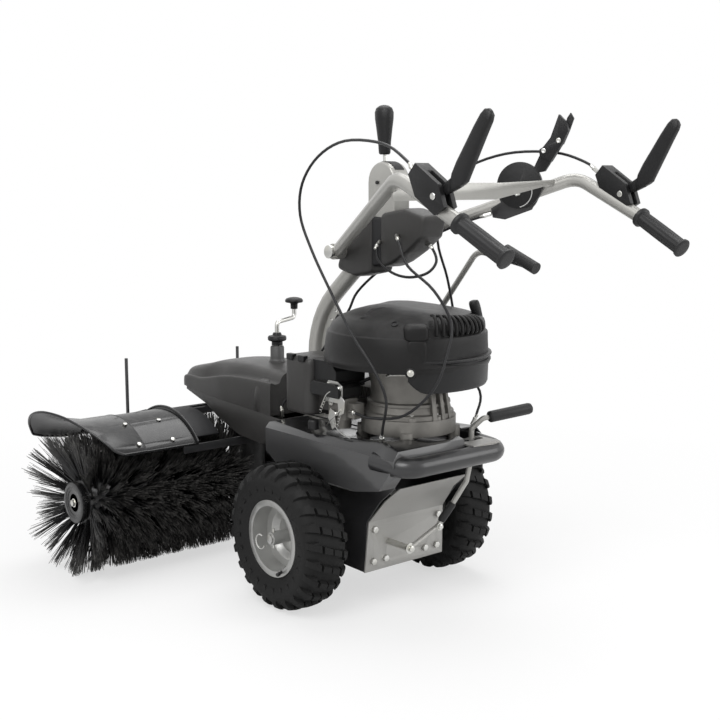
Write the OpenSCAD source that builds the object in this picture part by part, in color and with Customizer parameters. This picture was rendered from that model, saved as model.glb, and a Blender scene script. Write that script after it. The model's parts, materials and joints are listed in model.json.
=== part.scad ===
// Walk-behind power brush sweeper, in millimetres, +Y forward, +X right, +Z up.
// The origin is on the floor, under the middle of the machine's length and width.

/* [Wheels] */
// Outside diameter of a tyre
tyre_d = 330; // [310:1:350]
// Width of a tyre
tyre_w = 112; // [100:1:116]
// Thickness of the tyre's wall
tyre_wall = 9; // [6:0.5:14]
// Distance between the two tyre centres
wheel_track = 450; // [446:1:500]
// Bead seat diameter of a rim
bead_d = 152; // [140:1:160]
// Width between a rim's flanges
bead_w = 84; // [70:1:90]
// Diameter over a rim's flange
rim_flange_d = 173; // [166:1:178]
// Thickness of the rim's sheet
rim_sheet = 3; // [2:0.5:4]
// Diameter of the axle
axle_d = 20; // [16:1:24]
// Outside diameter of a wheel's hub tube
hub_d = 30; // [27:1:40]
// Diameter of the pins that lock the wheels to the axle
wheel_pin_d = 4.6; // [3:0.1:6]

/* [Brush] */
// Diameter over the bristle tips
brush_d = 350; // [330:1:370]
// Width over the brush's end caps
brush_w = 974; // [900:1:1040]
// How far the brush axis lies ahead of the axle
brush_ahead = 515; // [500:1:540]
// Diameter of the sleeve that carries the bristles
sleeve_d = 90; // [80:1:100]
// Wall of that sleeve
sleeve_wall = 4; // [3:0.5:6]
// Diameter of the brush shaft
brush_shaft_d = 25; // [20:1:30]
// Diameter of the brush's end caps
cap_d = 100; // [94:1:116]
// Thickness of an end cap
cap_t = 12; // [8:1:20]
// Half width of the gap in the middle of the brush
brush_gap_x = 62; // [58:1:80]
// Bristle tufts round the sleeve
tufts_round = 25; // [13:4:29]
// Rows of tufts along each half
tufts_along = 9; // [5:1:10]
// Thickness of a tuft at its root
tuft_d = 5; // [3:0.5:7]
// How far the outer tufts lean outwards at their tips
tuft_splay = 14; // [0:1:20]

/* [Brush gearbox] */
// Distance from the worm shaft back from the brush axis
worm_back = 55; // [54:0.5:56]
// Teeth on the worm wheel
worm_teeth = 24; // [24:4:24]
// Diameter of the worm shaft
worm_shaft_d = 20; // [16:1:22]
// Outside diameter of the gearbox case
gearbox_d = 118; // [112:1:124]
// Half width of the gearbox case
gearbox_x = 44; // [40:1:48]
// Diameter of the neck that the head swivels on
neck_d = 56; // [50:1:60]
// Diameter of the pulley on the worm shaft
worm_pulley_d = 100; // [90:1:108]

/* [Guard] */
// Gap between the bristle tips and the guard
guard_gap = 20; // [16:1:26]
// Thickness of the guard's sheet
guard_sheet = 2; // [1.5:0.5:3]
// Inner end of the inner guard from the middle
guard_inner_x = 222; // [200:1:240]
// Seam between the inner and the outer guard
guard_seam_x = 390; // [380:1:400]
// Width by which the guards overlap
guard_lap = 26; // [20:1:30]
// Outer end of the guard from the middle
guard_end_x = 543; // [530:1:550]
// Angle of the rear lip round the brush axis
guard_lip_a = 137; // [132:1:140]
// Angle of the front edge round the brush axis
guard_front_a = 43; // [40:1:50]
// Rise of the outer guard's flared end
guard_flare = 33; // [10:1:36]
// Diameter of the upright rods
rod_d = 9; // [7:1:12]
// Height of the rods' tips
rod_top = 467; // [440:1:500]
// Distance of each rod from the middle
rod_x = 182; // [160:1:200]
// Distance of the rods ahead of the guard
rod_gap = 81; // [70:1:90]

/* [Nose] */
// Width of the nose at its rear
nose_w = 240; // [232:1:248]
// Width of the nose at its tip
nose_tip_w = 190; // [170:1:210]
// Front end of the nose ahead of the axle
nose_front = 660; // [650:1:680]
// Rear end of the nose cover ahead of the axle
nose_rear = 208; // [204:1:214]
// Height of the cover's top
nose_top = 490; // [484:1:500]
// Height of the joint between tray and cover at the rear
nose_joint = 388; // [384:1:390]
// Rise of that joint to the front
nose_joint_rise = 20; // [12:1:24]
// Wall of the tray and the cover
nose_wall = 3; // [2:0.5:4]
// Crank column ahead of the axle
crank_ahead = 342; // [330:1:350]
// Outside diameter of the crank column's tube
crank_tube_d = 25; // [24:1:28]
// Top of that tube
crank_tube_top = 535; // [520:1:545]
// Diameter of the crank's rod
crank_rod_d = 12; // [10:0.5:13]
// Length of the crank's arm
crank_arm = 66; // [50:1:90]
// Height of the crank's knob
crank_knob_top = 652; // [640:1:680]
// Diameter of the crank's knob
crank_knob_d = 46; // [36:1:54]
// Diameter of the support wheel
jockey_d = 120; // [100:1:124]
// How far the support wheel trails behind the column
jockey_trail = 78; // [70:1:84]

/* [Chassis] */
// Width over the side frames
frame_w = 232; // [224:1:240]
// Thickness of the frames' sheet
frame_sheet = 4; // [3:0.5:5]
// Top of the deck plate
deck_top = 370; // [364:1:374]
// Thickness of the deck plate
deck_t = 5; // [4:0.5:8]
// Width of the body cover
cover_w = 326; // [310:1:328]
// Wall of the body cover
cover_wall = 3; // [2:0.5:4]
// Diameter of the bumper tube
bumper_d = 43; // [38:1:45]
// Distance from the axle back to the bumper
bumper_back = 300; // [296:1:306]
// Height of the bumper's axis
bumper_z = 357; // [352:1:362]
// Width over the bumper's bends
bumper_w = 284; // [270:1:300]

/* [Engine] */
// Distance from the axle back to the engine's shaft
engine_back = 150; // [146:1:154]
// Diameter of the engine's cowl
cowl_d = 366; // [350:1:370]
// Bottom of the cowl
cowl_bottom = 558; // [554:1:562]
// Top of the cowl
cowl_top = 680; // [670:1:690]
// Wall of the cowl
cowl_wall = 3; // [2:0.5:4]
// Diameter of the crankshaft
crankshaft_d = 25; // [20:1:28]
// Diameter of the crankcase's base
crankcase_d = 210; // [200:1:220]
// Height of the crankcase's feet above the deck
engine_feet = 32; // [31:0.5:34]
// Diameter of the engine's belt pulley
engine_pulley_d = 84; // [76:1:90]
// Diameter of the flywheel
flywheel_d = 190; // [160:1:220]

/* [Column and console] */
// Diameter of the column tube
column_d = 40; // [36:1:44]
// Wall of the column and handle tubes
tube_wall = 2.5; // [2:0.5:3]
// Column ahead of the axle
column_ahead = 180; // [178:1:182]
// Height where the column starts to bend
column_bend_z = 530; // [520:1:540]
// Radius of the column's bend
column_bend_r = 200; // [190:1:210]
// Angle of the column's bend
column_bend_a = 50; // [48:1:52]
// Straight length after the bend
column_top_l = 125; // [122:1:128]
// Width of the console
console_w = 68; // [64:1:72]
// Wall of the console's shells
console_wall = 3; // [2:0.5:4]

/* [Handlebar] */
// Diameter of the handle tubes
handle_d = 28; // [25:1:30]
// Radius of the handle tubes' bends
handle_bend_r = 62; // [50:1:70]
// Diameter of the grips
grip_d = 32; // [31:0.5:36]
// Length of the grips
grip_l = 124; // [110:1:130]
// Diameter of the handle's pivot bolts
pivot_bolt_d = 10; // [8:0.5:12]
// Width of a handle arm's eye
eye_w = 24; // [20:1:28]
// Diameter of the lever pivot pins
lever_pin_d = 8; // [6:0.5:9]

/* [Cables] */
// Diameter of the control cables
cable_d = 6; // [5:0.5:7]

/* [Clearances] */
// Radial clearance of a shaft in its bore
fit = 0.05; // [0.02:0.01:0.1]
// Gap between seated pieces
seat = 0.2; // [0.1:0.05:0.4]
// Gap between pieces that move past each other
run_gap = 0.6; // [0.4:0.1:1]

/* [Hidden] */
$fn = 48;

// Finishes, as the photo shows them
silver = [0.72, 0.72, 0.70];
steel = [0.62, 0.63, 0.64];
black = [0.10, 0.10, 0.11];
charcoal = [0.22, 0.22, 0.23];
rubber_black = [0.07, 0.07, 0.07];
cast = [0.66, 0.67, 0.68];
zinc = [0.76, 0.76, 0.74];

// Heights and places that follow from the sizes above
axle_z = tyre_d / 2;
wheel_x = wheel_track / 2;
brush_z = brush_d / 2;
brush_y = brush_ahead;
worm_y = brush_y - worm_back;
engine_y = -engine_back;
frame_x = frame_w / 2;
bead_r = bead_d / 2;
guard_r = brush_d / 2 + guard_gap;
belt_z = deck_top + 22;
belt_t = 10;
sleeve_end_x = brush_w / 2 - cap_t;

// Column and console, in the middle plane as [y, z]
bend_c = [column_ahead - column_bend_r, column_bend_z];
bend_end = bend_c + column_bend_r * [cos(column_bend_a), sin(column_bend_a)];
column_dir = [-sin(column_bend_a), cos(column_bend_a)];
column_end = bend_end + column_top_l * column_dir;
pivot_r = 17;
pivot_yz = bend_end + (column_top_l - 5) * column_dir
    + (column_d / 2 + pivot_r - 2) * [cos(column_bend_a), sin(column_bend_a)];
pivot_x = console_w / 2 + 4;

// Handle arm of the right side, from its eye to the end of its grip
arm_start = [pivot_x + eye_w / 2, pivot_yz[0], pivot_yz[1]];
arm_bend = [257, -397, 953];
arm_grip = [260, -562, 873];
grip_dir = unit([-7, -109, -60]);
arm_end = arm_grip + (grip_l - 8) * grip_dir;
grip_end = arm_grip + grip_l * grip_dir;
lever_pin = [264, -517, 919];
lock_y = -286;

// The machine's ends, which set the origin
rod_ahead = brush_y + guard_r + rod_gap;
rail_t = 10;
front_y = rod_ahead + rail_t / 2;
rear_y = grip_end[1] - grip_d / 2 * sqrt(1 - grip_dir[1] * grip_dir[1]);
axle_shift = -(front_y + rear_y) / 2;

// Angle lever on the right, pivot and bend as [y, z]
angle_x = 200;
angle_pivot = [203, 352];
angle_pin_d = 16;
angle_bend = [-161, 789];
angle_grip = [-248, 794];
angle_grip_end = [-334, 759];

// Gear lever behind the rear plate
gear_pivot = [-51, 150];
gear_route = [[40, -212, 187], [88, -246, 285], [96, -252, 340], [96, -252, 404], [112, -270, 428],
    [236, -300, 440]];

// Cable routes, from the lever boxes down
cable_routes = [
    [[-264, -449, 962], [-256, -418, 984], [-236, -330, 1016], [-210, -185, 1025], [-196, -80, 996],
        [-188, -14, 940], [-182, 2, 872], [-181, -36, 799], [-190, -110, 718], [-200, -196, 632],
        [-204, -268, 570], [-190, -290, 509], [-158, -244, 440], [-136, -214, 402.6]],
    [[264, -449, 962], [254, -420, 985], [232, -352, 1006], [190, -250, 1004], [150, -160, 968],
        [132, -110, 900], [140, -92, 810], [172, -92, 724], [186, -100, 640], [188, -112, 540],
        [184, -190, 470], [150, -214, 424], [136, -214, 402.6]],
    [[160.4, -237.2, 873.8], [128, -165, 848], [86, -70, 800], [50, 0, 745], [20, 50, 690], [2, 66, 640],
        [-30, 110, 560], [-64, 150, 480], [-94, 190, 420], [-96, 192, 388]],
    [[-37.4, -150, 830], [-56, -180, 812], [-78, -230, 770], [-70, -300, 724], [-60, -342, 660],
        [-80, -352, 600], [-110, -346, 530], [-140, -290, 470], [-150, -200, 452], [-146, -150, 452],
        [-138.6, -116, 452]],
    [[-36, -92, 814], [-50, -98, 800], [-55, -112, 775], [-50, -150, 750], [-36, -190, 742],
        [-14, -222, 752], [2, -232, 775], [6, -218, 800], [4, -196, 816]]];

// Largest angle of one step round a bend
bend_step = 15;

// Helpers

function unit(v) = v / norm(v);
function xyz(x, yz) = [x, yz[0], yz[1]];

// Smooth curve through a list of points, with a number of steps between each two
function curve_at(a, b, c, d, t) =
    0.5 * (2 * b + (c - a) * t + (2 * a - 5 * b + 4 * c - d) * t * t + (3 * b - a - 3 * c + d) * t * t * t);
function smooth(p, steps) = concat(
    [for (i = [0 : len(p) - 2], k = [0 : steps - 1])
        curve_at(p[max(i - 1, 0)], p[i], p[i + 1], p[min(i + 2, len(p) - 1)], k / steps)],
    [p[len(p) - 1]]);
function tangents(p) = let (last = len(p) - 1, u = [for (i = [0 : last - 1]) unit(p[i + 1] - p[i])])
    [for (i = [0 : last]) unit(u[max(i - 1, 0)] + u[min(i, last - 1)])];
function normals(t) = let (start = unit(cross(t[0], [1, 0.3, 0.1])))
    [for (i = 0, n = start; i < len(t);
        i = i + 1, n = i < len(t) ? unit(n - t[i] * (n * t[i])) : n) n];

// Points of a bend of radius r at b, between straight runs from a and to c
function corner(a, b, c, r) =
    let (u = unit(b - a), v = unit(c - b), turn = acos(u * v), centre = b + unit(v - u) * r / cos(turn / 2),
        spoke = unit(b - u * r * tan(turn / 2) - centre), steps = max(2, ceil(turn / bend_step)))
    [for (k = [0 : steps]) centre + r * (spoke * cos(k / steps * turn) + u * sin(k / steps * turn))];
function rounded(p, r) = concat([p[0]],
    [for (i = [1 : len(p) - 2]) each corner(p[i - 1], p[i], p[i + 1], r)], [p[len(p) - 1]]);

// Rings of points round a path, for a wall of the given diameter
function rings(path, d, sides) = let (t = tangents(path), n = normals(t))
    [for (i = [0 : len(path) - 1], k = [0 : sides - 1])
        path[i] + d / 2 * (cos(k * 360 / sides) * n[i] + sin(k * 360 / sides) * cross(t[i], n[i]))];
function wall_faces(count, sides, first, flip) =
    [for (i = [0 : count - 2], k = [0 : sides - 1], half = [0, 1])
        let (a = first + i * sides + k, b = first + i * sides + (k + 1) % sides,
            f = half == 0 ? [a, a + sides, b] : [b, a + sides, b + sides])
        flip ? [f[0], f[2], f[1]] : f];

// Tube swept along a list of points, solid or with a bore
module swept_tube(path, d, sides = 8, bore = 0) {
    m = len(path) * sides;
    last = m - sides;
    outer = rings(path, d, sides);
    if (bore == 0)
        polyhedron(outer, concat(wall_faces(len(path), sides, 0, false),
            [for (k = [1 : sides - 2]) [0, k, k + 1]],
            [for (k = [1 : sides - 2]) [last, last + k + 1, last + k]]));
    else
        polyhedron(concat(outer, rings(path, bore, sides)), concat(wall_faces(len(path), sides, 0, false),
            wall_faces(len(path), sides, m, true),
            [for (k = [0 : sides - 1]) let (l = (k + 1) % sides) each [[k, l, m + k], [l, m + l, m + k],
                [last + k, m + last + k, last + l], [last + l, m + last + k, m + last + l]]]));
}

// Round bar or tube along points, with a bend of radius r at each inner point
module pipe(p, d, r, sides = 16, bore = 0) {
    swept_tube(rounded(p, r), d, sides, bore);
}

// Machine frame with its origin on the floor under the axle
module at_axle() {
    translate([0, axle_shift, 0]) children();
}

module both_sides() {
    children();
    mirror([1, 0, 0]) children();
}

// Flat shape in [y, z], extruded across the machine
module along_x(x0, x1) {
    translate([x0, 0, 0]) rotate([90, 0, 90]) linear_extrude(x1 - x0) children();
}

// Flat shape in [x, z], extruded along the machine
module along_y(y0, y1) {
    translate([0, y1, 0]) rotate([90, 0, 0]) linear_extrude(y1 - y0) children();
}

// Profile of [radius, distance], turned about a line across the machine
module turned_x(y, z) {
    translate([0, y, z]) rotate([0, 90, 0]) rotate_extrude() children();
}

module cylinder_x(x0, x1, yz, d) {
    translate(xyz(x0, yz)) rotate([0, 90, 0]) cylinder(h = x1 - x0, d = d);
}

// Round bar from one point to another
module bar(a, b, d) {
    v = b - a;
    translate(a) rotate([0, acos(v[2] / norm(v)), atan2(v[1], v[0])]) cylinder(h = norm(v), d = d);
}

// Rectangle with round corners
module round_rect(x0, y0, x1, y1, r) {
    translate([x0 + r, y0]) square([x1 - x0 - 2 * r, y1 - y0]);
    translate([x0, y0 + r]) square([x1 - x0, y1 - y0 - 2 * r]);
    for (x = [x0 + r, x1 - r], y = [y0 + r, y1 - r]) translate([x, y]) circle(r = r);
}

// Belt pulley with a groove, its bottom at z = 0
module pulley(d, h, bore) {
    difference() {
        cylinder(h = h, d = d);
        translate([0, 0, -1]) cylinder(h = h + 2, d = bore);
        rotate_extrude() polygon([[d / 2 + 1, 1], [d / 2 - 7, h / 2 - 2], [d / 2 - 7, h / 2 + 2],
            [d / 2 + 1, h - 1]]);
    }
}

// Hexagon bolt along +z, with its head on z = 0
module bolt(d, l) {
    cylinder(h = 0.7 * d, d = 1.9 * d, $fn = 6);
    translate([0, 0, -l]) cylinder(h = l + 0.1, d = d);
}

// Wheels

carcass_r = bead_r + 18;
module tyre_section() {
    shoulder = tyre_w * 0.3;
    difference() {
        union() {
            translate([bead_r, -bead_w / 2]) square([carcass_r - bead_r + shoulder, bead_w]);
            round_rect(carcass_r, -tyre_w / 2, tyre_d / 2, tyre_w / 2, shoulder);
        }
        round_rect(carcass_r, -tyre_w / 2 + tyre_wall, tyre_d / 2 - tyre_wall - 6, tyre_w / 2 - tyre_wall,
            shoulder - tyre_wall);
        translate([bead_r - 1, -bead_w / 2 + tyre_wall + 3])
            square([carcass_r - bead_r + shoulder, bead_w - 2 * tyre_wall - 6]);
    }
}

rim_face_x = bead_w / 2 + seat + rim_sheet;
module rim_section() {
    barrel_r = bead_r - seat;
    translate([barrel_r - rim_sheet, -rim_face_x]) square([rim_sheet, 2 * rim_face_x]);
    for (y = [-rim_face_x, rim_face_x - rim_sheet])
        translate([barrel_r - rim_sheet, y]) square([rim_flange_d / 2 - barrel_r + rim_sheet, rim_sheet]);
    polygon([[hub_d / 2 - 1, -6], [barrel_r - 30, -12], [barrel_r - 18, 0], [barrel_r - 1, 2],
        [barrel_r - 1, 2 + rim_sheet], [barrel_r - 20, rim_sheet + 1], [barrel_r - 32, -12 + rim_sheet],
        [hub_d / 2 - 1, -6 + rim_sheet]]);
    translate([axle_d / 2 + fit, -rim_face_x + 6]) square([(hub_d - axle_d) / 2 - fit, 2 * rim_face_x - 4]);
}

pin_x = wheel_x + rim_face_x - 6;
module wheel_pin_bores() {
    for (x = [-pin_x, pin_x]) translate([x, 0, axle_z - hub_d])
        cylinder(h = 2 * hub_d, d = wheel_pin_d + 2 * seat);
}

module tyres() color(rubber_black) at_axle() both_sides()
    translate([wheel_x, 0, 0]) turned_x(0, axle_z) tyre_section();

module rims() color(silver) at_axle() difference() {
    both_sides() translate([wheel_x, 0, 0]) turned_x(0, axle_z) rim_section();
    wheel_pin_bores();
}

axle_end_x = pin_x + 12;
module axle() color(steel) at_axle() difference() {
    cylinder_x(-axle_end_x, axle_end_x, [0, axle_z], axle_d);
    wheel_pin_bores();
}

module wheel_pins() color(zinc) at_axle() for (x = [-pin_x, pin_x])
    translate([x, 0, axle_z - hub_d * 0.75]) cylinder(h = hub_d * 1.5, d = wheel_pin_d);

case_x = 55;
case_wall = 6;
case_neck_d = 40;
module transaxle() color(cast) at_axle() difference() {
    union() {
        cylinder_x(-case_x, case_x, [0, axle_z], 116);
        cylinder_x(-frame_x - 4, frame_x + 4, [0, axle_z], case_neck_d);
    }
    cylinder_x(-case_x + case_wall, case_x - case_wall, [0, axle_z], 116 - 2 * case_wall);
    cylinder_x(-frame_x - 5, frame_x + 5, [0, axle_z], axle_d + 2 * fit);
}

axle_gear_d = 84;
axle_gear_teeth = 28;
module axle_gear() color(steel) at_axle() translate([-10, 0, axle_z]) rotate([0, 90, 0]) difference() {
    union() {
        cylinder(h = 20, d = axle_gear_d - 6);
        for (k = [1 : axle_gear_teeth]) rotate(k * 360 / axle_gear_teeth)
            translate([axle_gear_d / 2 - 5, -2, 2]) cube([5, 4, 16]);
    }
    translate([0, 0, -1]) cylinder(h = 22, d = axle_d + 2 * fit);
}

// Chassis

plate_t = 4;
// Outside of the rear plate, from its bottom edge up, as [y, z]
plate_line = [[-140, 89], [-147, 205], [-191, 260], [-236, 297]];
plate_half = [118, 112, 103, 100];
frame_front = 168;
module side_frames() color(silver) at_axle() both_sides() difference() {
    along_x(frame_x - frame_sheet, frame_x) polygon(concat(
        [for (p = plate_line) p + [plate_t + seat, 0]],
        [[plate_line[3][0] + plate_t + seat, deck_top], [frame_front, deck_top], [frame_front, 318],
        [96, 120],
            [60, 92]]));
    cylinder_x(0, frame_x + 1, [0, axle_z], case_neck_d + 2 * seat);
    cylinder_x(0, frame_x + 1, [132, 346], 14);
}

// Places of the rear plate's bolts as [x, z], with the plate's y there
rear_bolts = [[96, 112], [96, 186], [60, 112]];
bolt_d = 8;
function plate_y(z) = plate_line[0][0] + (plate_line[1][0] - plate_line[0][0]) * (z - plate_line[0][1])
    / (plate_line[1][1] - plate_line[0][1]);
module rear_plate() color(silver) at_axle() difference() {
    intersection() {
        along_x(-plate_half[0], plate_half[0]) polygon(concat(plate_line,
            [for (k = [3 : -1 : 0]) plate_line[k] + [plate_t, 0]]));
        along_y(-bumper_back, 0) polygon(concat([for (k = [0 : 3]) [plate_half[k], plate_line[k][1]]],
            [for (k = [3 : -1 : 0]) [-plate_half[k], plate_line[k][1]]]));
    }
    for (s = [-1, 1], b = rear_bolts) translate([s * b[0], 0, b[1]]) rotate([90, 0, 0])
        cylinder(h = 200, d = bolt_d + 2 * seat);
    translate([gear_pivot[0], 0, gear_pivot[1]]) rotate([90, 0, 0])
        cylinder(h = 200, d = gear_shaft_d + 2 * fit);
}

deck_rear = plate_line[3][0] + plate_t + seat;
deck_x = frame_x - frame_sheet - seat;
module deck_plate() color(steel) at_axle() difference() {
    translate([-deck_x, deck_rear, deck_top - deck_t]) cube([2 * deck_x, frame_front - deck_rear, deck_t]);
    translate([0, engine_y, deck_top - 20]) cylinder(h = 40, d = crankshaft_d + 16);
    for (s = [-1, 1], y = foot_y) translate([s * foot_x, y, deck_top - 20])
        cylinder(h = 40, d = bolt_d + 2 * seat);
}

foot_x = 70;
foot_y = [engine_y - 70, engine_y + 70];
module chassis_bolts() color(zinc) at_axle() {
    for (s = [-1, 1], b = rear_bolts) translate([s * b[0], plate_y(b[1]) - 0.7, b[1]])
        rotate([90, 0, 0]) bolt(bolt_d, 14);
    for (s = [-1, 1], y = foot_y) translate([s * foot_x, y, deck_top - deck_t]) rotate([180, 0, 0])
        bolt(bolt_d, deck_t + 12);
}

cover_side_x = cover_w / 2;
cover_deck_x = cover_side_x - 34;
module cover_form(inset) {
    intersection() {
        along_x(-cover_side_x, cover_side_x) polygon([[-284 + inset, 362], [-278 + inset, 392 - inset],
            [-236, 402 - inset], [10, 384 - inset], [150, 390 - inset], [frame_front - inset, 386 - inset],
            [frame_front - inset, 320], [120, 292], [-118, 278], [-236, 302]]);
        along_y(-bumper_back, 200) polygon([[-cover_deck_x, 410 - inset], [cover_deck_x, 410 - inset],
            [cover_side_x - inset, 374], [cover_side_x - inset, 288], [cover_side_x - 8 - inset, 276],
            [-cover_side_x + 8 + inset, 276], [-cover_side_x + inset, 288], [-cover_side_x + inset, 374]]);
    }
}

cover_hole_d = crankcase_d + 24;
gear_notch_x = [46, 168];
module body_cover() color(black) at_axle() difference() {
    cover_form(0);
    cover_form(cover_wall);
    // Room below the cover for the frames, and the openings in its top
    translate([-frame_x - seat, -400, 200]) cube([2 * frame_x + 2 * seat, 700, deck_top + seat - 200]);
    along_x(-cover_side_x + cover_wall, cover_side_x - cover_wall) polygon([[-236, 270], [-230, 306],
        [160, 326],
        [160, 270]]);
    translate([0, engine_y, 300]) cylinder(h = 200, d = cover_hole_d);
    translate([0, column_ahead, 300]) cylinder(h = 200, d = 2 * column_foot_r + 4);
    translate([-52, 60, deck_top]) cube([104, 200, 60]);
    translate([gear_notch_x[0], -400, 200]) cube([gear_notch_x[1] - gear_notch_x[0], 176, 300]);
    bumper_form(1);
}

bumper_bend_r = 40;
module bumper_form(grow, bore = 0) {
    x = bumper_w / 2;
    pipe([[-x - 6, -208, bumper_z + 4], [-x, -bumper_back, bumper_z], [x, -bumper_back, bumper_z],
        [x + 6, -208, bumper_z + 4]], bumper_d + 2 * grow, bumper_bend_r, 20, bore);
}

gate = [[50, -304], [134, -236.6]];
gate_t = 4;
gate_z = bumper_z + bumper_d / 2;
module bumper() color(black) at_axle() {
    difference() {
        union() {
            bumper_form(0, bumper_d - 2 * tube_wall);
            translate([gate[0][0], gate[0][1], gate_z - gate_t / 2])
                cube([gate[1][0] - gate[0][0], gate[1][1] - gate[0][1], gate_t]);
        }
        translate([0, 0, gate_z - 20]) linear_extrude(40) round_rect(66, -264, 126, -241, 10);
    }
}

// Nose

joint_slope = nose_joint_rise / (nose_front - nose_rear);
function joint_z(y) = nose_joint + joint_slope * (y - nose_rear);
module nose_plan(inset) {
    h = nose_w / 2 - inset;
    t = nose_tip_w / 2 - inset;
    f = nose_front - inset;
    translate([0, 0, 200]) linear_extrude(400) polygon([[-h, 0], [-h, 440], [-t, f - 36], [-t + 30, f],
        [t - 30, f], [t, f - 36], [h, 440], [h, 0]]);
}

tray_rear = frame_front + seat;
module tray_form(inset) {
    intersection() {
        along_x(-nose_w, nose_w) polygon([[tray_rear + inset, joint_z(tray_rear) + (inset > 0 ? 1 : 0)],
            [tray_rear + inset, 366 + inset], [244, 314 + inset], [342, 321 + inset], [507, 376 + inset],
            [nose_front, 402 + inset], [nose_front, joint_z(nose_front) + (inset > 0 ? 1 : 0)]]);
        nose_plan(inset);
    }
}

swivel_seat_z = 352;
swivel_seat_t = 10;
swivel_seat_d = 96;
module nose_tray() color(charcoal) at_axle() difference() {
    union() {
        difference() {
            tray_form(0);
            tray_form(nose_wall);
        }
        intersection() {
            translate([0, worm_y, swivel_seat_z]) cylinder(h = swivel_seat_t + 8, d = swivel_seat_d);
            translate([-nose_w, 300, swivel_seat_z]) cube([2 * nose_w, 300, swivel_seat_t]);
        }
        // Stud of the angle lever
        cylinder_x(nose_w / 2 - 1, nose_w / 2 + 5, angle_pivot, angle_pin_d + 14);
        cylinder_x(nose_w / 2 - 1, angle_x + angle_eye_w / 2 + 3, angle_pivot, angle_pin_d);
    }
    translate([0, worm_y, 300]) cylinder(h = 200, d = neck_d + 2 * run_gap);
    translate([0, worm_y, swivel_seat_z - 50]) cylinder(h = 50, d = swivel_seat_d + 4);
    translate([0, worm_y, swivel_seat_z + swivel_seat_t]) cylinder(h = 50, d = worm_pulley_d + 8);
    translate([0, crank_ahead, 300]) cylinder(h = 100, d = crank_tube_d + 2 * seat);
    translate([-52, 100, belt_z - belt_t]) cube([104, 100, 2 * belt_t]);
    translate([0, column_ahead, 300]) cylinder(h = 200, d = 2 * column_foot_r + 4);
}

module cover_shape(inset) {
    base = inset > 0 ? -1 : 0;
    intersection() {
        along_x(-nose_w, nose_w) polygon([[nose_rear + inset, joint_z(nose_rear) + seat + base],
            [nose_rear + inset, nose_top - inset], [300, nose_top - inset], [430, nose_top - 2 - inset],
            [540, 462 - inset], [630, 452 - inset], [nose_front - 8 - inset, 436 - inset],
            [nose_front - inset, joint_z(nose_front) + seat + base]]);
        nose_plan(inset);
        along_y(100, 700) polygon([[-nose_w / 2 + inset, 300], [-nose_w / 2 + inset, 420],
            [-nose_w / 2 + 26 + inset, 470], [-nose_w / 2 + 50, nose_top - inset],
            [nose_w / 2 - 50, nose_top - inset], [nose_w / 2 - 26 - inset, 470], [nose_w / 2 - inset, 420],
            [nose_w / 2 - inset, 300]]);
    }
}

module nose_cover() color(charcoal) at_axle() difference() {
    cover_shape(0);
    cover_shape(nose_wall);
    translate([0, crank_ahead, 300]) cylinder(h = 400, d = crank_tube_d + 2 * seat);
    translate([-52, 150, belt_z - belt_t]) cube([104, 100, 2 * belt_t]);
    translate([-104, nose_rear - 30, 380]) cube([20, 40, 60]);
}

// Crank column and support wheel

leg_d = crank_tube_d - 5;
module crank_tube() color(silver) at_axle() translate([0, crank_ahead, 0]) difference() {
    translate([0, 0, 318]) cylinder(h = crank_tube_top - 318, d = crank_tube_d);
    translate([0, 0, 300]) cylinder(h = crank_tube_top - 300 - 10, d = leg_d + 2 * fit);
    translate([0, 0, 300]) cylinder(h = 300, d = crank_rod_d + 2 * fit);
}

arm_turn = 12;
arm_z = 594;
knob_pin_d = 8;
knob_h = 30;
module crank() color(zinc) at_axle() translate([0, crank_ahead, 0]) {
    end = crank_arm * [cos(arm_turn), sin(arm_turn), 0];
    translate([0, 0, 330]) cylinder(h = arm_z - 2 * crank_rod_d - 330, d = crank_rod_d);
    pipe([[0, 0, arm_z - 2 * crank_rod_d - 4], [0, 0, arm_z], end + [0, 0, arm_z + 6],
        end + [0, 0, crank_knob_top - knob_h - 2]], crank_rod_d - 1, crank_rod_d, 12);
    translate(end + [0, 0, crank_knob_top - knob_h - 4]) cylinder(h = knob_h - 4, d = knob_pin_d);
    translate([0, 0, crank_tube_top + run_gap]) cylinder(h = 30, d = crank_knob_d + 1);
}

module crank_knob() color(black) at_axle() translate([0, crank_ahead, 0])
    translate(crank_arm * [cos(arm_turn), sin(arm_turn), 0] + [0, 0, crank_knob_top - knob_h])
    difference() {
        rotate_extrude() {
            square([9, knob_h - 8]);
            translate([0, knob_h - 14]) round_rect(0, 0, crank_knob_d / 2, 14, 6.5);
            translate([0, knob_h - 14]) square([10, 14]);
        }
        translate([0, 0, -1]) cylinder(h = knob_h - 5, d = knob_pin_d + 2 * fit);
    }

jockey_r = jockey_d / 2;
jockey_lift = 2;
jockey_y = crank_ahead - jockey_trail;
jockey_z = jockey_r + jockey_lift;
fork_x = 26;
fork_t = 5;
module jockey_leg() color(steel) at_axle() difference() {
    union() {
        translate([0, crank_ahead, 236]) cylinder(h = 234, d = leg_d);
        along_x(-fork_x - fork_t, fork_x + fork_t) polygon([[crank_ahead - 18, 236], [crank_ahead + 12, 236],
            [crank_ahead + 12, 226], [crank_ahead - 24, 226]]);
        both_sides() along_x(fork_x, fork_x + fork_t) polygon([[crank_ahead - 18, 236],
            [crank_ahead + 12, 236],
            [crank_ahead + 12, 222], [jockey_y + 14, jockey_z - 10], [jockey_y - 14, jockey_z - 10],
            [jockey_y - 14, jockey_z + 14]]);
        cylinder_x(-fork_x - fork_t - 4, fork_x + fork_t + 4, [jockey_y, jockey_z], 12);
    }
    translate([0, crank_ahead, 284]) cylinder(h = 200, d = crank_rod_d + 2 * run_gap);
}

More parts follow.
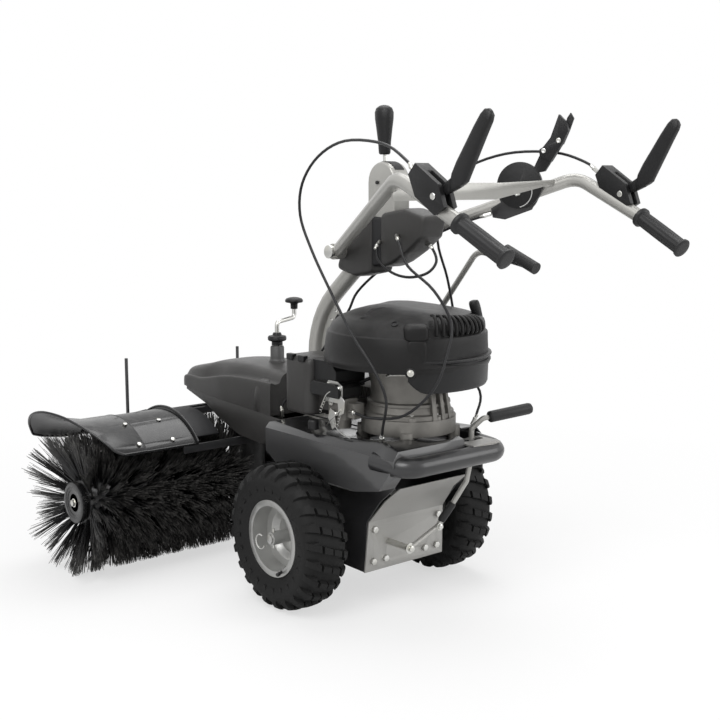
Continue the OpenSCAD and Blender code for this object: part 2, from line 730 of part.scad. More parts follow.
module jockey_wheel() color(rubber_black) at_axle() turned_x(jockey_y, jockey_z) difference() {
    round_rect(6 + fit, -20, jockey_r, 20, 5);
    for (s = [-1, 1]) translate([14, s * 22 - 8]) square([jockey_r - 32, 16]);
}

// Brush gearbox and head

worm_pitch_r = 14;
wheel_pitch_r = worm_back - worm_pitch_r;
pitch = 2 * PI * wheel_pitch_r / worm_teeth;
tooth_h = 5;
module worm_wheel() color([0.70, 0.55, 0.25]) at_axle() translate([-11, brush_y, brush_z]) rotate([0, 90, 0])
    difference() {
        union() {
            cylinder(h = 22, r = wheel_pitch_r - tooth_h / 2 - 0.6);
            for (k = [0 : worm_teeth - 1]) rotate(k * 360 / worm_teeth + 90)
                linear_extrude(22)
                    polygon([[wheel_pitch_r - tooth_h, -2.6], [wheel_pitch_r + tooth_h / 2 - 1, -1.2],
                    [wheel_pitch_r + tooth_h / 2 - 1, 1.2], [wheel_pitch_r - tooth_h, 2.6]]);
        }
        translate([0, 0, -1]) cylinder(h = 24, d = brush_shaft_d + 2 * fit);
    }

// Thread of the worm: a ridge that climbs one pitch in each turn
thread_turns = 5;
thread_steps = 16;
module worm_thread() {
    n = thread_turns * thread_steps;
    root_r = worm_shaft_d / 2 - 0.8;
    tip_r = worm_pitch_r + tooth_h / 2 - 1;
    section = [[root_r, -1.9], [root_r, 1.9], [tip_r, 0.9], [tip_r, -0.9]];
    points = [for (i = [0 : n], q = section) let (a = i * 360 / thread_steps + 90)
        [q[0] * cos(a), q[0] * sin(a), q[1] + pitch * (i / thread_steps - thread_turns / 2)]];
    faces = concat(
        wall_faces(n + 1, 4, 0, false),
        [[0, 1, 2], [0, 2, 3], [n * 4, n * 4 + 2, n * 4 + 1], [n * 4, n * 4 + 3, n * 4 + 2]]);
    polyhedron(points, faces);
}

pulley_h = 14;
module worm_shaft() color(steel) at_axle() translate([0, worm_y, 0]) {
    translate([0, 0, 126]) cylinder(h = belt_z + pulley_h - 126, d = worm_shaft_d);
    translate([0, 0, brush_z]) worm_thread();
    translate([0, 0, belt_z - pulley_h / 2]) pulley(worm_pulley_d, pulley_h, worm_shaft_d - 1);
}

neck_top = swivel_seat_z + swivel_seat_t + 5;
gear_room_x = 14;
module gearbox_case() color(cast) at_axle() difference() {
    union() {
        cylinder_x(-gearbox_x, gearbox_x, [brush_y, brush_z], gearbox_d);
        translate([0, worm_y, 120]) cylinder(h = swivel_seat_z - run_gap - 120, d = neck_d + 12);
        translate([0, worm_y, 120]) cylinder(h = neck_top - 120, d = neck_d);
    }
    cylinder_x(-gear_room_x, gear_room_x, [brush_y, brush_z], 2 * (wheel_pitch_r + 5));
    cylinder_x(-gearbox_x - 1, gearbox_x + 1, [brush_y, brush_z], brush_shaft_d + 2 * fit);
    translate([0, worm_y, 140]) cylinder(h = 70, r = worm_pitch_r + 5);
    translate([0, worm_y, 122]) cylinder(h = 300, d = worm_shaft_d + 2 * fit);
    swivel_groove();
}

ring_t = 4;
module swivel_groove() {
    translate([0, worm_y, swivel_seat_z + swivel_seat_t]) rotate_extrude()
        translate([neck_d / 2 - 3, run_gap - seat]) square([10, ring_t + 2 * seat]);
}

module swivel_ring() color(steel) at_axle() translate([0, worm_y, swivel_seat_z + swivel_seat_t + run_gap])
    difference() {
        cylinder(h = ring_t, d = neck_d + 14);
        translate([0, 0, -1]) cylinder(h = ring_t + 2, r = neck_d / 2 - 3 + seat);
    }

frame_bar_y = brush_y + guard_r * cos(guard_lip_a) - 2;
frame_bar_z = brush_z + guard_r * sin(guard_lip_a) - 20 - seat;
bar_x = guard_inner_x + 40;
module head_frame() color(black) at_axle() {
    along_x(-bar_x, bar_x) translate([frame_bar_y, frame_bar_z]) square([6, 20]);
    both_sides() {
        along_x(gearbox_x + seat, gearbox_x + 6) translate([frame_bar_y, frame_bar_z])
            square([brush_y - 20 - frame_bar_y, 20]);
        along_x(gearbox_x + seat, gearbox_x + 6) polygon([[brush_y - 60, frame_bar_z],
            [brush_y - 20, frame_bar_z], [brush_y - 20, brush_z + 34], [brush_y - 44, brush_z + 30]]);
    }
}

// Everything above two rays from the brush axis, from the front edge to the rear lip
module guard_wedge() {
    reach = 400;
    translate([brush_y, brush_z]) polygon([[0, 0], reach * [cos(guard_front_a), sin(guard_front_a)],
        [reach, reach], [-reach, reach], reach * [cos(guard_lip_a), sin(guard_lip_a)]]);
}

// Guard's sheet between two radii, from the rear lip to the front edge
module guard_section(r0, r1) {
    intersection() {
        translate([brush_y, brush_z]) difference() {
            circle(r = r1);
            circle(r = r0);
        }
        guard_wedge();
    }
}

// Screws in the lap, and in the inner guard, as [x, angle round the brush axis]
screw_d = 6;
lap_screws = [for (a = [109, 131]) [-guard_seam_x + guard_lap / 2, a]];
inner_screws = [for (a = [109, 131]) [-guard_inner_x - 62, a]];
module guard_screw_at(spot) {
    translate([spot[0], brush_y, brush_z]) rotate([spot[1] - 90, 0, 0]) translate([0, 0, guard_r]) children();
}

module screw_holes(spots) {
    for (spot = spots) guard_screw_at(spot) translate([0, 0, -20]) cylinder(h = 40, d = screw_d + 2 * seat);
}

guard_lap_r = guard_r + guard_sheet + seat;
module guard_one() {
    difference() {
        union() {
            along_x(-guard_seam_x, -guard_inner_x) guard_section(guard_r, guard_r + guard_sheet);
            along_x(-guard_inner_x - guard_sheet, -guard_inner_x) guard_section(guard_r, guard_r + 10);
        }
        screw_holes(lap_screws);
        screw_holes(inner_screws);
    }
    outer_guard();
}

// Outer guard: it flares like a bell, and its outline is rounded from the rear lip to the front
lap_x = -guard_seam_x + guard_lap;
bell = [[0, 0], [0.44, 0], [0.72, 0.3], [1.02, 1]];
module outer_guard() {
    inside = [for (b = bell) [guard_lap_r + b[1] * guard_flare, lap_x - b[0] * (guard_end_x + lap_x)]];
    difference() {
        intersection() {
            turned_x(brush_y, brush_z) polygon(concat(inside,
                [for (k = [1 : len(bell)]) inside[len(bell) - k] + [guard_sheet, 0]]));
            along_x(-guard_end_x - 20, 0) guard_wedge();
            translate([-guard_end_x, brush_y, 200]) linear_extrude(400) polygon([[guard_end_x + lap_x, -230],
                [118, -230], [118, -144], [100, -135], [88, -120], [70, -94], [55, -66], [30, -18], [10, 25],
                [2, 58], [0, 89], [4, 114], [13, 136], [26, 153], [41, 165], [60, 240],
                [guard_end_x + lap_x, 240]]);
        }
        screw_holes(lap_screws);
    }
}

module guard_left() color(black) at_axle() guard_one();
module guard_right() color(black) at_axle() mirror([1, 0, 0]) guard_one();

module guard_screws() color(zinc) at_axle() both_sides() {
    for (spot = lap_screws) guard_screw_at(spot)
        translate([0, 0, 2 * guard_sheet + 2 * seat]) bolt(screw_d, 10);
    for (spot = inner_screws) guard_screw_at(spot) translate([0, 0, guard_sheet + seat]) bolt(screw_d, 10);
}

flap_t = 4;
flap_r = guard_r - flap_t - seat;
flap_a = [62, 131];
flap_x = [gearbox_x + 12, guard_inner_x + 26];
// Room behind the flaps that the tray sweeps when the head swivels
flap_room = [150, worm_y + 62];
module guard_flaps() color(rubber_black) at_axle() difference() {
    both_sides() along_x(-flap_x[1], -flap_x[0]) translate([brush_y, brush_z]) intersection() {
        difference() {
            circle(r = flap_r + flap_t);
            circle(r = flap_r);
        }
        polygon([[0, 0], 400 * [cos(flap_a[0]), sin(flap_a[0])], [100, 400], [-100, 400],
            400 * [cos(flap_a[1]), sin(flap_a[1])]]);
    }
    translate([-flap_room[0], 0, 0]) cube([2 * flap_room[0], flap_room[1], 500]);
}

// Rail that carries the rods, on two arms that lie on the guards
rail_z = [brush_z + guard_r - 86, brush_z + guard_r - 60];
rail_x = guard_inner_x + 30;
module front_rail() color(black) at_axle() {
    along_x(-rail_x, rail_x) translate([rod_ahead - rail_t / 2, rail_z[0]])
        square([rail_t, rail_z[1] - rail_z[0]]);
    both_sides() {
        translate([rod_x, rod_ahead, rail_z[1] - 2]) cylinder(h = rod_top - rail_z[1] + 2, d = rod_d);
        along_x(rail_x - 8, rail_x - 2) difference() {
            polygon([[brush_y + 62, brush_z + 150], [brush_y + 62, brush_z + guard_r - 4],
                [rod_ahead, rail_z[1] - 4], [rod_ahead, rail_z[0] + 6], [brush_y + 145, rail_z[0] + 6]]);
            translate([brush_y, brush_z]) circle(r = guard_r + guard_sheet + seat);
        }
    }
}

// Brush

module brush_shaft() color(steel) at_axle() cylinder_x(-brush_w / 2 + 4, brush_w / 2 - 4, [brush_y, brush_z],
    brush_shaft_d);

spigot_d = sleeve_d - 2 * sleeve_wall - 1.6;
module brush_cap(x, inner) {
    translate([x, brush_y, brush_z]) rotate([0, 90, 0]) difference() {
        union() {
            cylinder(h = cap_t, d = inner ? sleeve_d - 2 : cap_d);
            translate([0, 0, inner ? cap_t : -cap_t]) cylinder(h = cap_t, d = spigot_d);
        }
        translate([0, 0, -2 * cap_t]) cylinder(h = 4 * cap_t, d = brush_shaft_d + 2 * fit);
        if (!inner) translate([0, 0, cap_t - 4]) cylinder(h = 5, d = cap_d * 0.62);
    }
}

module brush_caps() color(charcoal) at_axle() both_sides() {
    brush_cap(sleeve_end_x, false);
    brush_cap(brush_gap_x - cap_t, true);
}

// Half of the brush: a slice of the sleeve with tapered tufts, four-sided and pointed
module bristle_half() {
    x0 = brush_gap_x + seat;
    x1 = sleeve_end_x - seat;
    cell = (x1 - x0) / tufts_along;
    step = 360 / tufts_round;
    r_out = sleeve_d / 2;
    r_in = r_out - sleeve_wall;
    root_a = tuft_d / 2 / r_out * 180 / PI;
    function ring(x, r) = [for (k = [0 : tufts_round - 1]) let (a = k * step - 90 - step / 2)
        [x, r * cos(a), r * sin(a)]];
    function root(j, k) = let (x = x0 + (j + 0.5) * cell, a = k * step - 90)
        [for (q = [[-1, -1], [1, -1], [1, 1], [-1, 1]])
        [x + q[0] * tuft_d / 2, r_out * cos(a + q[1] * root_a), r_out * sin(a + q[1] * root_a)]];
    function tip(j, k) = let (u = (j + 0.5) / tufts_along, lean = tuft_splay * u * u * u, a = k * step - 90)
        [x0 + (j + 0.5) * cell + lean, brush_d / 2 * cos(a), brush_d / 2 * sin(a)];
    n = tufts_round;
    rows = tufts_along;
    grid = [for (j = [0 : rows]) each ring(x0 + j * cell, r_out)];
    tufts = [for (j = [0 : rows - 1], k = [0 : n - 1]) each concat(root(j, k), [tip(j, k)])];
    bore = concat(ring(x0, r_in), ring(x1, r_in));
    t0 = len(grid);
    b0 = t0 + len(tufts);
    function g(j, k) = j * n + (k % n);
    function cell_faces(j, k) = let (a = g(j, k), b = g(j + 1, k), c = g(j + 1, k + 1), d = g(j, k + 1),
        r = t0 + 5 * (j * n + k)) [
            [a, b, r], [b, r + 1, r], [b, c, r + 1], [c, r + 2, r + 1], [c, d, r + 2], [d, r + 3, r + 2],
            [d, a, r + 3], [a, r, r + 3], [r, r + 1, r + 4], [r + 1, r + 2, r + 4], [r + 2, r + 3, r + 4],
            [r + 3, r, r + 4]];
    faces = concat(
        [for (j = [0 : rows - 1], k = [0 : n - 1]) each cell_faces(j, k)],
        [for (k = [0 : n - 1]) let (l = (k + 1) % n) each [[b0 + k, b0 + l, b0 + n + k],
            [b0 + l, b0 + n + l, b0 + n + k], [k, l, b0 + k], [l, b0 + l, b0 + k],
            [rows * n + k, b0 + n + k, rows * n + l], [rows * n + l, b0 + n + k, b0 + n + l]]]);
    translate([0, brush_y, brush_z]) polyhedron(concat(grid, tufts, bore), faces);
}

module bristles_left() color(rubber_black) at_axle() mirror([1, 0, 0]) bristle_half();
module bristles_right() color(rubber_black) at_axle() bristle_half();

// Drive belt from the engine to the worm shaft

belt_seat = 3;
belt_h = 2.8;
module belt_loop(grow) {
    ra = engine_pulley_d / 2 - belt_seat + grow;
    rb = worm_pulley_d / 2 - belt_seat + grow;
    lean = asin((rb - ra) / (worm_y - engine_y));
    translate([0, engine_y]) circle(r = ra);
    translate([0, worm_y]) circle(r = rb);
    polygon([[ra * cos(lean), engine_y - ra * sin(lean)], [rb * cos(lean), worm_y - rb * sin(lean)],
        [-rb * cos(lean), worm_y - rb * sin(lean)], [-ra * cos(lean), engine_y - ra * sin(lean)]]);
}

module brush_belt() color(rubber_black) at_axle()
    translate([0, 0, belt_z - belt_h / 2]) linear_extrude(belt_h)
    difference() {
        belt_loop(4);
        belt_loop(0);
    }

// Engine

case_z = deck_top + engine_feet;
// Cylinder head with its fins ahead of the crankcase
head_y = [60, 150];
module crankcase() color(cast) at_axle() difference() {
    union() {
        translate([0, engine_y, case_z]) cylinder(h = 34, d = crankcase_d);
        translate([0, engine_y, case_z]) cylinder(h = cowl_bottom - case_z - 6, d = 150);
        for (s = [-1, 1], y = foot_y) translate([s * foot_x, y, deck_top])
            cylinder(h = engine_feet + 10, d = 30);
        translate([-42, engine_y, case_z + 14]) cube([84, head_y[0], 70]);
        for (y = [head_y[0] : 10 : head_y[1]]) translate([-48, engine_y + y, case_z + 12]) cube([96, 4, 74]);
        translate([-36, engine_y + head_y[0], case_z + 20]) cube([72, head_y[1] - head_y[0], 58]);
    }
    translate([0, engine_y, 300]) cylinder(h = 300, d = crankshaft_d + 2 * fit);
    translate([0, engine_y, case_z + 14]) cylinder(h = 56, d = 116);
    for (s = [-1, 1], y = foot_y) translate([s * foot_x, y, deck_top - 1])
        cylinder(h = 16, d = bolt_d + 2 * seat);
}

shaft_top = cowl_bottom + 50;
module crankshaft() color(steel) at_axle() translate([0, engine_y, 0]) {
    translate([0, 0, deck_top - 12]) cylinder(h = shaft_top - deck_top + 12, d = crankshaft_d);
    translate([0, 0, belt_z - pulley_h / 2]) pulley(engine_pulley_d, pulley_h, crankshaft_d - 1);
    translate([0, 0, case_z + 22]) intersection() {
        cylinder(h = 12, d = 100);
        translate([-60, -60, 0]) cube([120, 76, 12]);
    }
}

module flywheel() color(cast) at_axle() translate([0, engine_y, cowl_bottom + 4]) difference() {
    union() {
        cylinder(h = 16, d = flywheel_d);
        for (a = [0 : 30 : 330]) rotate(a) translate([flywheel_d / 2 - 30, -2, 15]) cube([26, 4, 26]);
        cylinder(h = 40, d = 60);
    }
    translate([0, 0, -1]) cylinder(h = 60, d = crankshaft_d + 2 * fit);
}

cowl_round = 44;
module cowl_section(inset) {
    r = cowl_d / 2 - inset;
    translate([0, cowl_bottom - (inset > 0 ? 1 : 0)])
        square([r, cowl_top - cowl_round - cowl_bottom + (inset > 0 ? 1 : 0)]);
    translate([0, cowl_bottom]) square([r - cowl_round, cowl_top - inset - cowl_bottom]);
    intersection() {
        translate([r - cowl_round, cowl_top - inset - cowl_round]) circle(r = cowl_round);
        translate([r - cowl_round, cowl_top - inset - cowl_round]) square(2 * cowl_round);
    }
}

starter_a = -28;
starter_z = 640;
cord_d = 4;
module engine_cowl() color(black) at_axle() translate([0, engine_y, 0]) {
    difference() {
        union() {
            difference() {
                rotate_extrude() cowl_section(0);
                rotate_extrude() cowl_section(cowl_wall);
            }
            // Inner rim that seats the cowl on the crankcase
            translate([0, 0, cowl_bottom - 5.8]) cylinder(h = 7, d = cowl_d - cowl_wall);
        }
        translate([0, 0, cowl_bottom - 10]) cylinder(h = 20, d = flywheel_d + 8);
        rotate(starter_a) translate([0, 0, starter_z]) rotate([0, 90, 0])
            cylinder(h = 300, d = cord_d + 1.2);
        for (k = [-4 : 3]) rotate(-62 + k * 8) translate([cowl_d / 2 - 22, -2.5, 640]) cube([40, 5, 60]);
    }
    // Ribs from the rim to the crankcase
    for (a = [20, 110, 200, 290]) rotate(a) translate([60, -6, cowl_bottom - 5.8]) cube([50, 12, 4]);
}

module starter_grip() color(black) at_axle() translate([0, engine_y, starter_z]) rotate(starter_a) {
    translate([cowl_d / 2 + run_gap, -30, -9]) rotate([-90, 0, 0]) translate([9, -9, 0])
        cylinder(h = 60, d = 18);
    translate([-120, 0, 0]) rotate([0, 90, 0]) cylinder(h = cowl_d / 2 + 126, d = cord_d);
}

// Tank under the rear of the cowl, between two angles round the crankshaft
tank_z = 506;
tank_in_r = 75 + seat;
tank_a = [-134, -6];
module fuel_tank() color(black) at_axle() translate([0, engine_y, tank_z])
    linear_extrude(cowl_bottom - 6 - tank_z) difference() {
        intersection() {
            circle(r = cowl_d / 2 - 4);
            polygon([[0, 0], 400 * [cos(tank_a[0]), sin(tank_a[0])], [-400, -400], [400, -400],
                400 * [cos(tank_a[1]), sin(tank_a[1])]]);
        }
        circle(r = tank_in_r);
    }

box = [[-160, 4, 425], [-84, 88, 552]];
module air_box() color(black) at_axle() difference() {
    union() {
        translate([0, 0, box[0][2]]) linear_extrude(box[1][2] - box[0][2])
            round_rect(box[0][0], box[0][1], box[1][0], box[1][1], 9);
        for (x = [-142, -108]) translate([x, 20, box[1][2] - 1]) cube([14, 44, 6]);
        translate([-134, -40.8, 440]) cube([24, 46.8, 34]);
    }
    translate([0, 0, box[0][2] + 4]) linear_extrude(box[1][2] - box[0][2] - 8)
        round_rect(box[0][0] + 4, box[0][1] + 4, box[1][0] - 4, box[1][1] - 4, 5);
    translate([0, engine_y, cowl_bottom - 8]) cylinder(h = 300, d = cowl_d + 2 * run_gap);
}

module carburettor() color(zinc) at_axle() difference() {
    union() {
        translate([-140, engine_y + 50, 430]) cube([34, 59, 46]);
        translate([-123, engine_y + 78, 408]) cylinder(h = 24, d = 36);
        translate([-122, engine_y + 82, 452]) rotate([0, 90, 0]) cylinder(h = 74 - seat, d = 26);
        translate([-135, engine_y + 26, 436]) cube([28, 30, 32]);
    }
    translate([0, engine_y, 380]) cylinder(h = 110, d = 150 + 2 * seat);
}

module muffler() color(steel) at_axle() {
    translate([0, 0, 438]) linear_extrude(52) round_rect(78, -92, 160, -22, 14);
    translate([48 + seat, -57, 462]) rotate([0, 90, 0]) cylinder(h = 34, d = 26);
}

// Column, console and handlebar

column_foot_r = 34;
column_points = concat([[0, column_ahead, deck_top]],
    [for (k = [0 : 6])
        xyz(0, bend_c + column_bend_r * [cos(k / 6 * column_bend_a), sin(k / 6 * column_bend_a)])],
    [xyz(0, column_end)]);
// Room that the column takes in the console
module column_form(grow) {
    d = column_d + 2 * grow;
    swept_tube(column_points, d, 24);
    cylinder_x(-pivot_x - grow, pivot_x + grow, pivot_yz, 2 * (pivot_r + grow));
}

gusset_t = 4;
gusset_depth = 26;
module column() color(silver) at_axle() {
    difference() {
        union() {
            swept_tube(column_points, column_d, 24, column_d - 2 * tube_wall);
            cylinder_x(-pivot_x, pivot_x, pivot_yz, 2 * pivot_r);
            translate([0, column_ahead, deck_top]) column_foot();
        }
        cylinder_x(-pivot_x - 1, pivot_x + 1, pivot_yz, pivot_bolt_d + 2 * seat);
    }
    gusset();
}

module column_foot() {
    difference() {
        cylinder(h = 8, r = column_foot_r);
        translate([0, 0, -1]) cylinder(h = 10, d = column_d - 2 * tube_wall);
    }
}

// Perforated strap welded inside the bend
module gusset() {
    r1 = column_bend_r - column_d / 2 + 1;
    translate(xyz(0, bend_c)) rotate([90, 0, 90]) translate([0, 0, -gusset_t / 2]) difference() {
        rotate_extrude(angle = column_bend_a - 6)
            translate([r1 - gusset_depth, 0]) square([gusset_depth, gusset_t]);
        for (a = [6 : 9 : column_bend_a - 8]) rotate(a) translate([r1 - gusset_depth / 2 - 1, 0, -1])
            cylinder(h = gusset_t + 2, d = 7);
    }
}

// Console in the middle plane, and the seam that parts its two shells
console_line = [[66, 742], [0, 731], [-110, 756], [-136, 770], [-201, 859], [-198, 869], [-45, 886],
    [20, 838]];
console_seam = [[90, 800], [-40, 806], [-214, 872], [-214, 660], [90, 660]];
dome = [-72, 942];
dome_d = 92;
module console_form(inset) {
    x = console_w / 2 - inset;
    c = [-70, 808];
    along_x(-x, x) polygon([for (p = console_line) p + inset * unit(c - p)]);
}

// Dome over the lever's pin, on a neck that rises from the cover
module dome_form(half, d) {
    cylinder_x(-half, half, dome, d);
    along_x(-half, half) translate([dome[0] - d / 2, dome[1] - 102]) square([d, 102]);
}

module console_base() color(charcoal) at_axle() difference() {
    intersection() {
        difference() {
            console_form(0);
            console_form(console_wall);
        }
        along_x(-100, 100) polygon(console_seam);
    }
    column_form(seat);
}

module console_cover() color(charcoal) at_axle() difference() {
    difference() {
        union() {
            console_form(0);
            dome_form(24, dome_d);
        }
        console_form(console_wall);
        dome_form(21, dome_d - 6);
        along_x(-100, 100) translate([0, -seat])
            polygon(concat([for (k = [0 : 2]) console_seam[k] + [0, 2 * seat]],
            [console_seam[3], console_seam[4]]));
    }
    column_form(seat);
    translate([-7, dome[0] - 60, dome[1] + 18]) cube([14, 120, 40]);
    cylinder_x(-60, 60, dome, lever_pin_d + 2 * fit);
}

module console_lever() color(black) at_axle() {
    cylinder_x(-24 - 4, 28, dome, lever_pin_d);
    cylinder_x(-4, 4, dome, 60);
    bar(xyz(0, dome + [0, 24]), xyz(0, [-66, 1010]), 12);
    bar(xyz(0, [-66, 1006]), xyz(0, [-64, 1096]), 22);
    translate(xyz(0, [-64, 1094])) sphere(d = 30);
}

arm_points = [arm_start, arm_bend, arm_grip, arm_end];
module handle_arms() color(silver) at_axle() both_sides() difference() {
    union() {
        pipe(arm_points, handle_d, handle_bend_r, 16, handle_d - 2 * tube_wall);
        cylinder_x(pivot_x + seat, pivot_x + eye_w, pivot_yz, handle_d + 8);
    }
    cylinder_x(0, pivot_x + eye_w + 40, pivot_yz, pivot_bolt_d + 2 * fit);
    cylinder_x(0, pivot_x + seat, pivot_yz, 80);
    cylinder_x(pivot_x + eye_w, pivot_x + eye_w + 60, pivot_yz, bolt_head_d + 2 * run_gap);
}

bolt_head_d = 30;
module handle_bolts() color(zinc) at_axle() both_sides() {
    cylinder_x(pivot_x - 24, pivot_x + eye_w + 2, pivot_yz, pivot_bolt_d);
    cylinder_x(pivot_x + eye_w + run_gap, pivot_x + eye_w + 14, pivot_yz, bolt_head_d);
}

// Upright cross plate between the arms
arm_dir = unit(arm_bend - arm_start);
cross_y = -360;
module handle_plate() color(silver) at_axle() difference() {
    along_y(cross_y - 2, cross_y + 2) polygon([[-238, 908], [45, 908], [205, 936], [226, 938], [226, 948],
        [60, 942], [-238, 942]]);
    both_sides() bar(arm_start, arm_bend, handle_d + 2 * seat);
}

module grip_one() {
    difference() {
        union() {
            bar(arm_grip, grip_end, grip_d);
            bar(arm_grip, arm_grip + 6 * grip_dir, grip_d + 12);
        }
        bar(arm_grip - 10 * grip_dir, arm_end + seat * grip_dir, handle_d + 2 * seat);
    }
}

module grips() color(rubber_black) at_axle() both_sides() grip_one();

box_x = [248, 282];
box_line = [[-452, 958], [-470, 978], [-530, 940], [-545, 900], [-520, 886], [-470, 918]];
lever_slot_x = [259, 271];
module lever_boxes() color(black) at_axle() both_sides() difference() {
    along_x(box_x[0], box_x[1]) polygon(box_line);
    along_x(lever_slot_x[0] - run_gap, lever_slot_x[1] + run_gap) polygon([[-500, 1000], [-478, 912],
        [-492, 870],
        [-600, 870], [-600, 1000]]);
    cylinder_x(box_x[0] - 1, box_x[1] + 1, [lever_pin[1], lever_pin[2]], lever_pin_d + 2 * fit);
    bar(arm_bend, arm_grip, handle_d + 2 * seat);
}

lever_line = [[-506, 922], [-530, 934], [-600, 1010], [-640, 1052], [-634, 1060], [-622, 1062], [-560, 1000],
    [-512, 944]];
module clutch_lever() {
    along_x(lever_slot_x[0], lever_slot_x[1]) polygon(lever_line);
    cylinder_x(box_x[0] - 2, box_x[1] + 2, [lever_pin[1], lever_pin[2]], lever_pin_d);
    cylinder_x(lever_slot_x[0], lever_slot_x[1], [lever_pin[1], lever_pin[2]], 13);
}

module clutch_lever_left() color(black) at_axle() mirror([1, 0, 0]) clutch_lever();
module clutch_lever_right() color(black) at_axle() clutch_lever();

// Lock lever on the inner side of the right arm, in a frame that runs along the arm:
// x away from the arm, y along it, and heights from the floor
lock_turn = atan2(arm_dir[0], -arm_dir[1]);
lock_at = arm_start + (lock_y - arm_start[1]) / arm_dir[1] * arm_dir;
module at_lock() {
    translate([lock_at[0], lock_at[1], 0]) rotate([0, 0, lock_turn]) translate([-handle_d / 2 - seat, 0, 0])
        children();
}

lock_pin = [0, 922];
bracket_t = 5;
module lock_bracket() color(black) at_axle() at_lock() difference() {
    union() {
        along_x(-bracket_t, 0) polygon([[-48, 952], [-30, 960], [26, 908], [62, 886], [58, 866], [30, 862],
            [-30, 884], [-48, 920]]);
        cylinder_x(-bracket_t, 0, lock_pin, 92);
    }
    cylinder_x(-20, 20, lock_pin, lever_pin_d + 2 * fit);
}

lock_x = [-bracket_t - run_gap - 10, -bracket_t - run_gap];
latch_pin = [-90, 1030];
latch_pin_d = 6;
module lock_lever() color(black) at_axle() at_lock() difference() {
    union() {
        cylinder_x(lock_x[0], lock_x[1], [-4, 936], 100);
        along_x(lock_x[0], lock_x[1]) polygon([[-30, 960], [-60, 966], [-74, 988], [-66, 1004], [-50, 1004],
            [-36, 974]]);
        along_x(lock_x[0] - 6, lock_x[1]) polygon([[-74, 986], [-99, 1026], [-110, 1050], [-107, 1066],
            [-97, 1076], [-89, 1084], [-84, 1070], [-72, 1036], [-56, 1016], [-49, 1012], [-49, 1002],
            [-52, 996]]);
        cylinder_x(lock_x[0] - 4, -0.6, lock_pin, lever_pin_d);
    }
    cylinder_x(lock_x[0] - 7, lock_x[1] + 1, latch_pin, latch_pin_d + 2 * fit);
}

module thumb_latch() color(black) at_axle() at_lock() {
    cylinder_x(lock_x[0] + 1, lock_x[1] + 8, latch_pin, latch_pin_d);
    along_x(lock_x[1] + run_gap, lock_x[1] + 8) polygon([[-82, 1024], [-96, 1022], [-108, 1050], [-117, 1076],
        [-110, 1088], [-103, 1078], [-96, 1056], [-84, 1038]]);
}

gear_shaft_d = 14;
gear_rod_d = 12;
module gear_lever() color(zinc) at_axle() {
    translate([gear_pivot[0], -120, gear_pivot[1]]) rotate([90, 0, 0]) cylinder(h = 98, d = gear_shaft_d);
    along_y(-218, -206) polygon([[-62, 140], [-44, 136], [46, 176], [50, 192], [36, 198], [-58, 164]]);
    pipe(gear_route, gear_rod_d, 14, 10);
    bar(gear_route[4] + [16, -5, 1.8], gear_route[5], 26);
}

angle_rod_d = 14;
angle_eye_w = 20;
module angle_lever() color(steel) at_axle() difference() {
    angle_form();
    cylinder_x(angle_x - 30, angle_x + 30, angle_pivot, angle_pin_d + 2 * fit);
}

module angle_form() {
    cylinder_x(angle_x - angle_eye_w / 2, angle_x + angle_eye_w / 2, angle_pivot, angle_pin_d + 12);
    pipe([xyz(angle_x, angle_pivot + [4, -6]), xyz(angle_x, angle_bend), xyz(angle_x, angle_grip_end)],
        angle_rod_d, 40, 12);
    bar(xyz(angle_x, angle_grip), xyz(angle_x, angle_grip_end + [-4, -1.6]), 27);
}

// Control cables

module control_cables() color(rubber_black) at_axle()
    for (route = cable_routes) swept_tube(smooth(route, 2), cable_d);

side_frames();
rear_plate();
deck_plate();
body_cover();
bumper();
nose_tray();
nose_cover();
column();
console_base();
console_cover();
crankcase();
engine_cowl();
fuel_tank();
air_box();
carburettor();
muffler();
transaxle();
brush_belt();
crank_tube();
chassis_bolts();
handle_bolts();
control_cables();
axle();
axle_gear();
rims();
tyres();
wheel_pins();
crankshaft();
flywheel();
gearbox_case();
swivel_ring();
head_frame();
guard_left();
guard_right();
guard_flaps();
front_rail();
guard_screws();
brush_shaft();
worm_wheel();
bristles_left();
bristles_right();
brush_caps();
worm_shaft();
handle_arms();
handle_plate();
grips();
lever_boxes();
lock_bracket();
clutch_lever_left();
clutch_lever_right();
lock_lever();
thumb_latch();
console_lever();
gear_lever();
angle_lever();
crank();
crank_knob();
jockey_leg();
jockey_wheel();
starter_grip();
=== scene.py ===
"""Power brush sweeper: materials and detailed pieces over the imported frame."""
import json
import logging
import math
import random
from dataclasses import dataclass, field
from enum import Enum
from typing import Callable, Iterable, Sequence

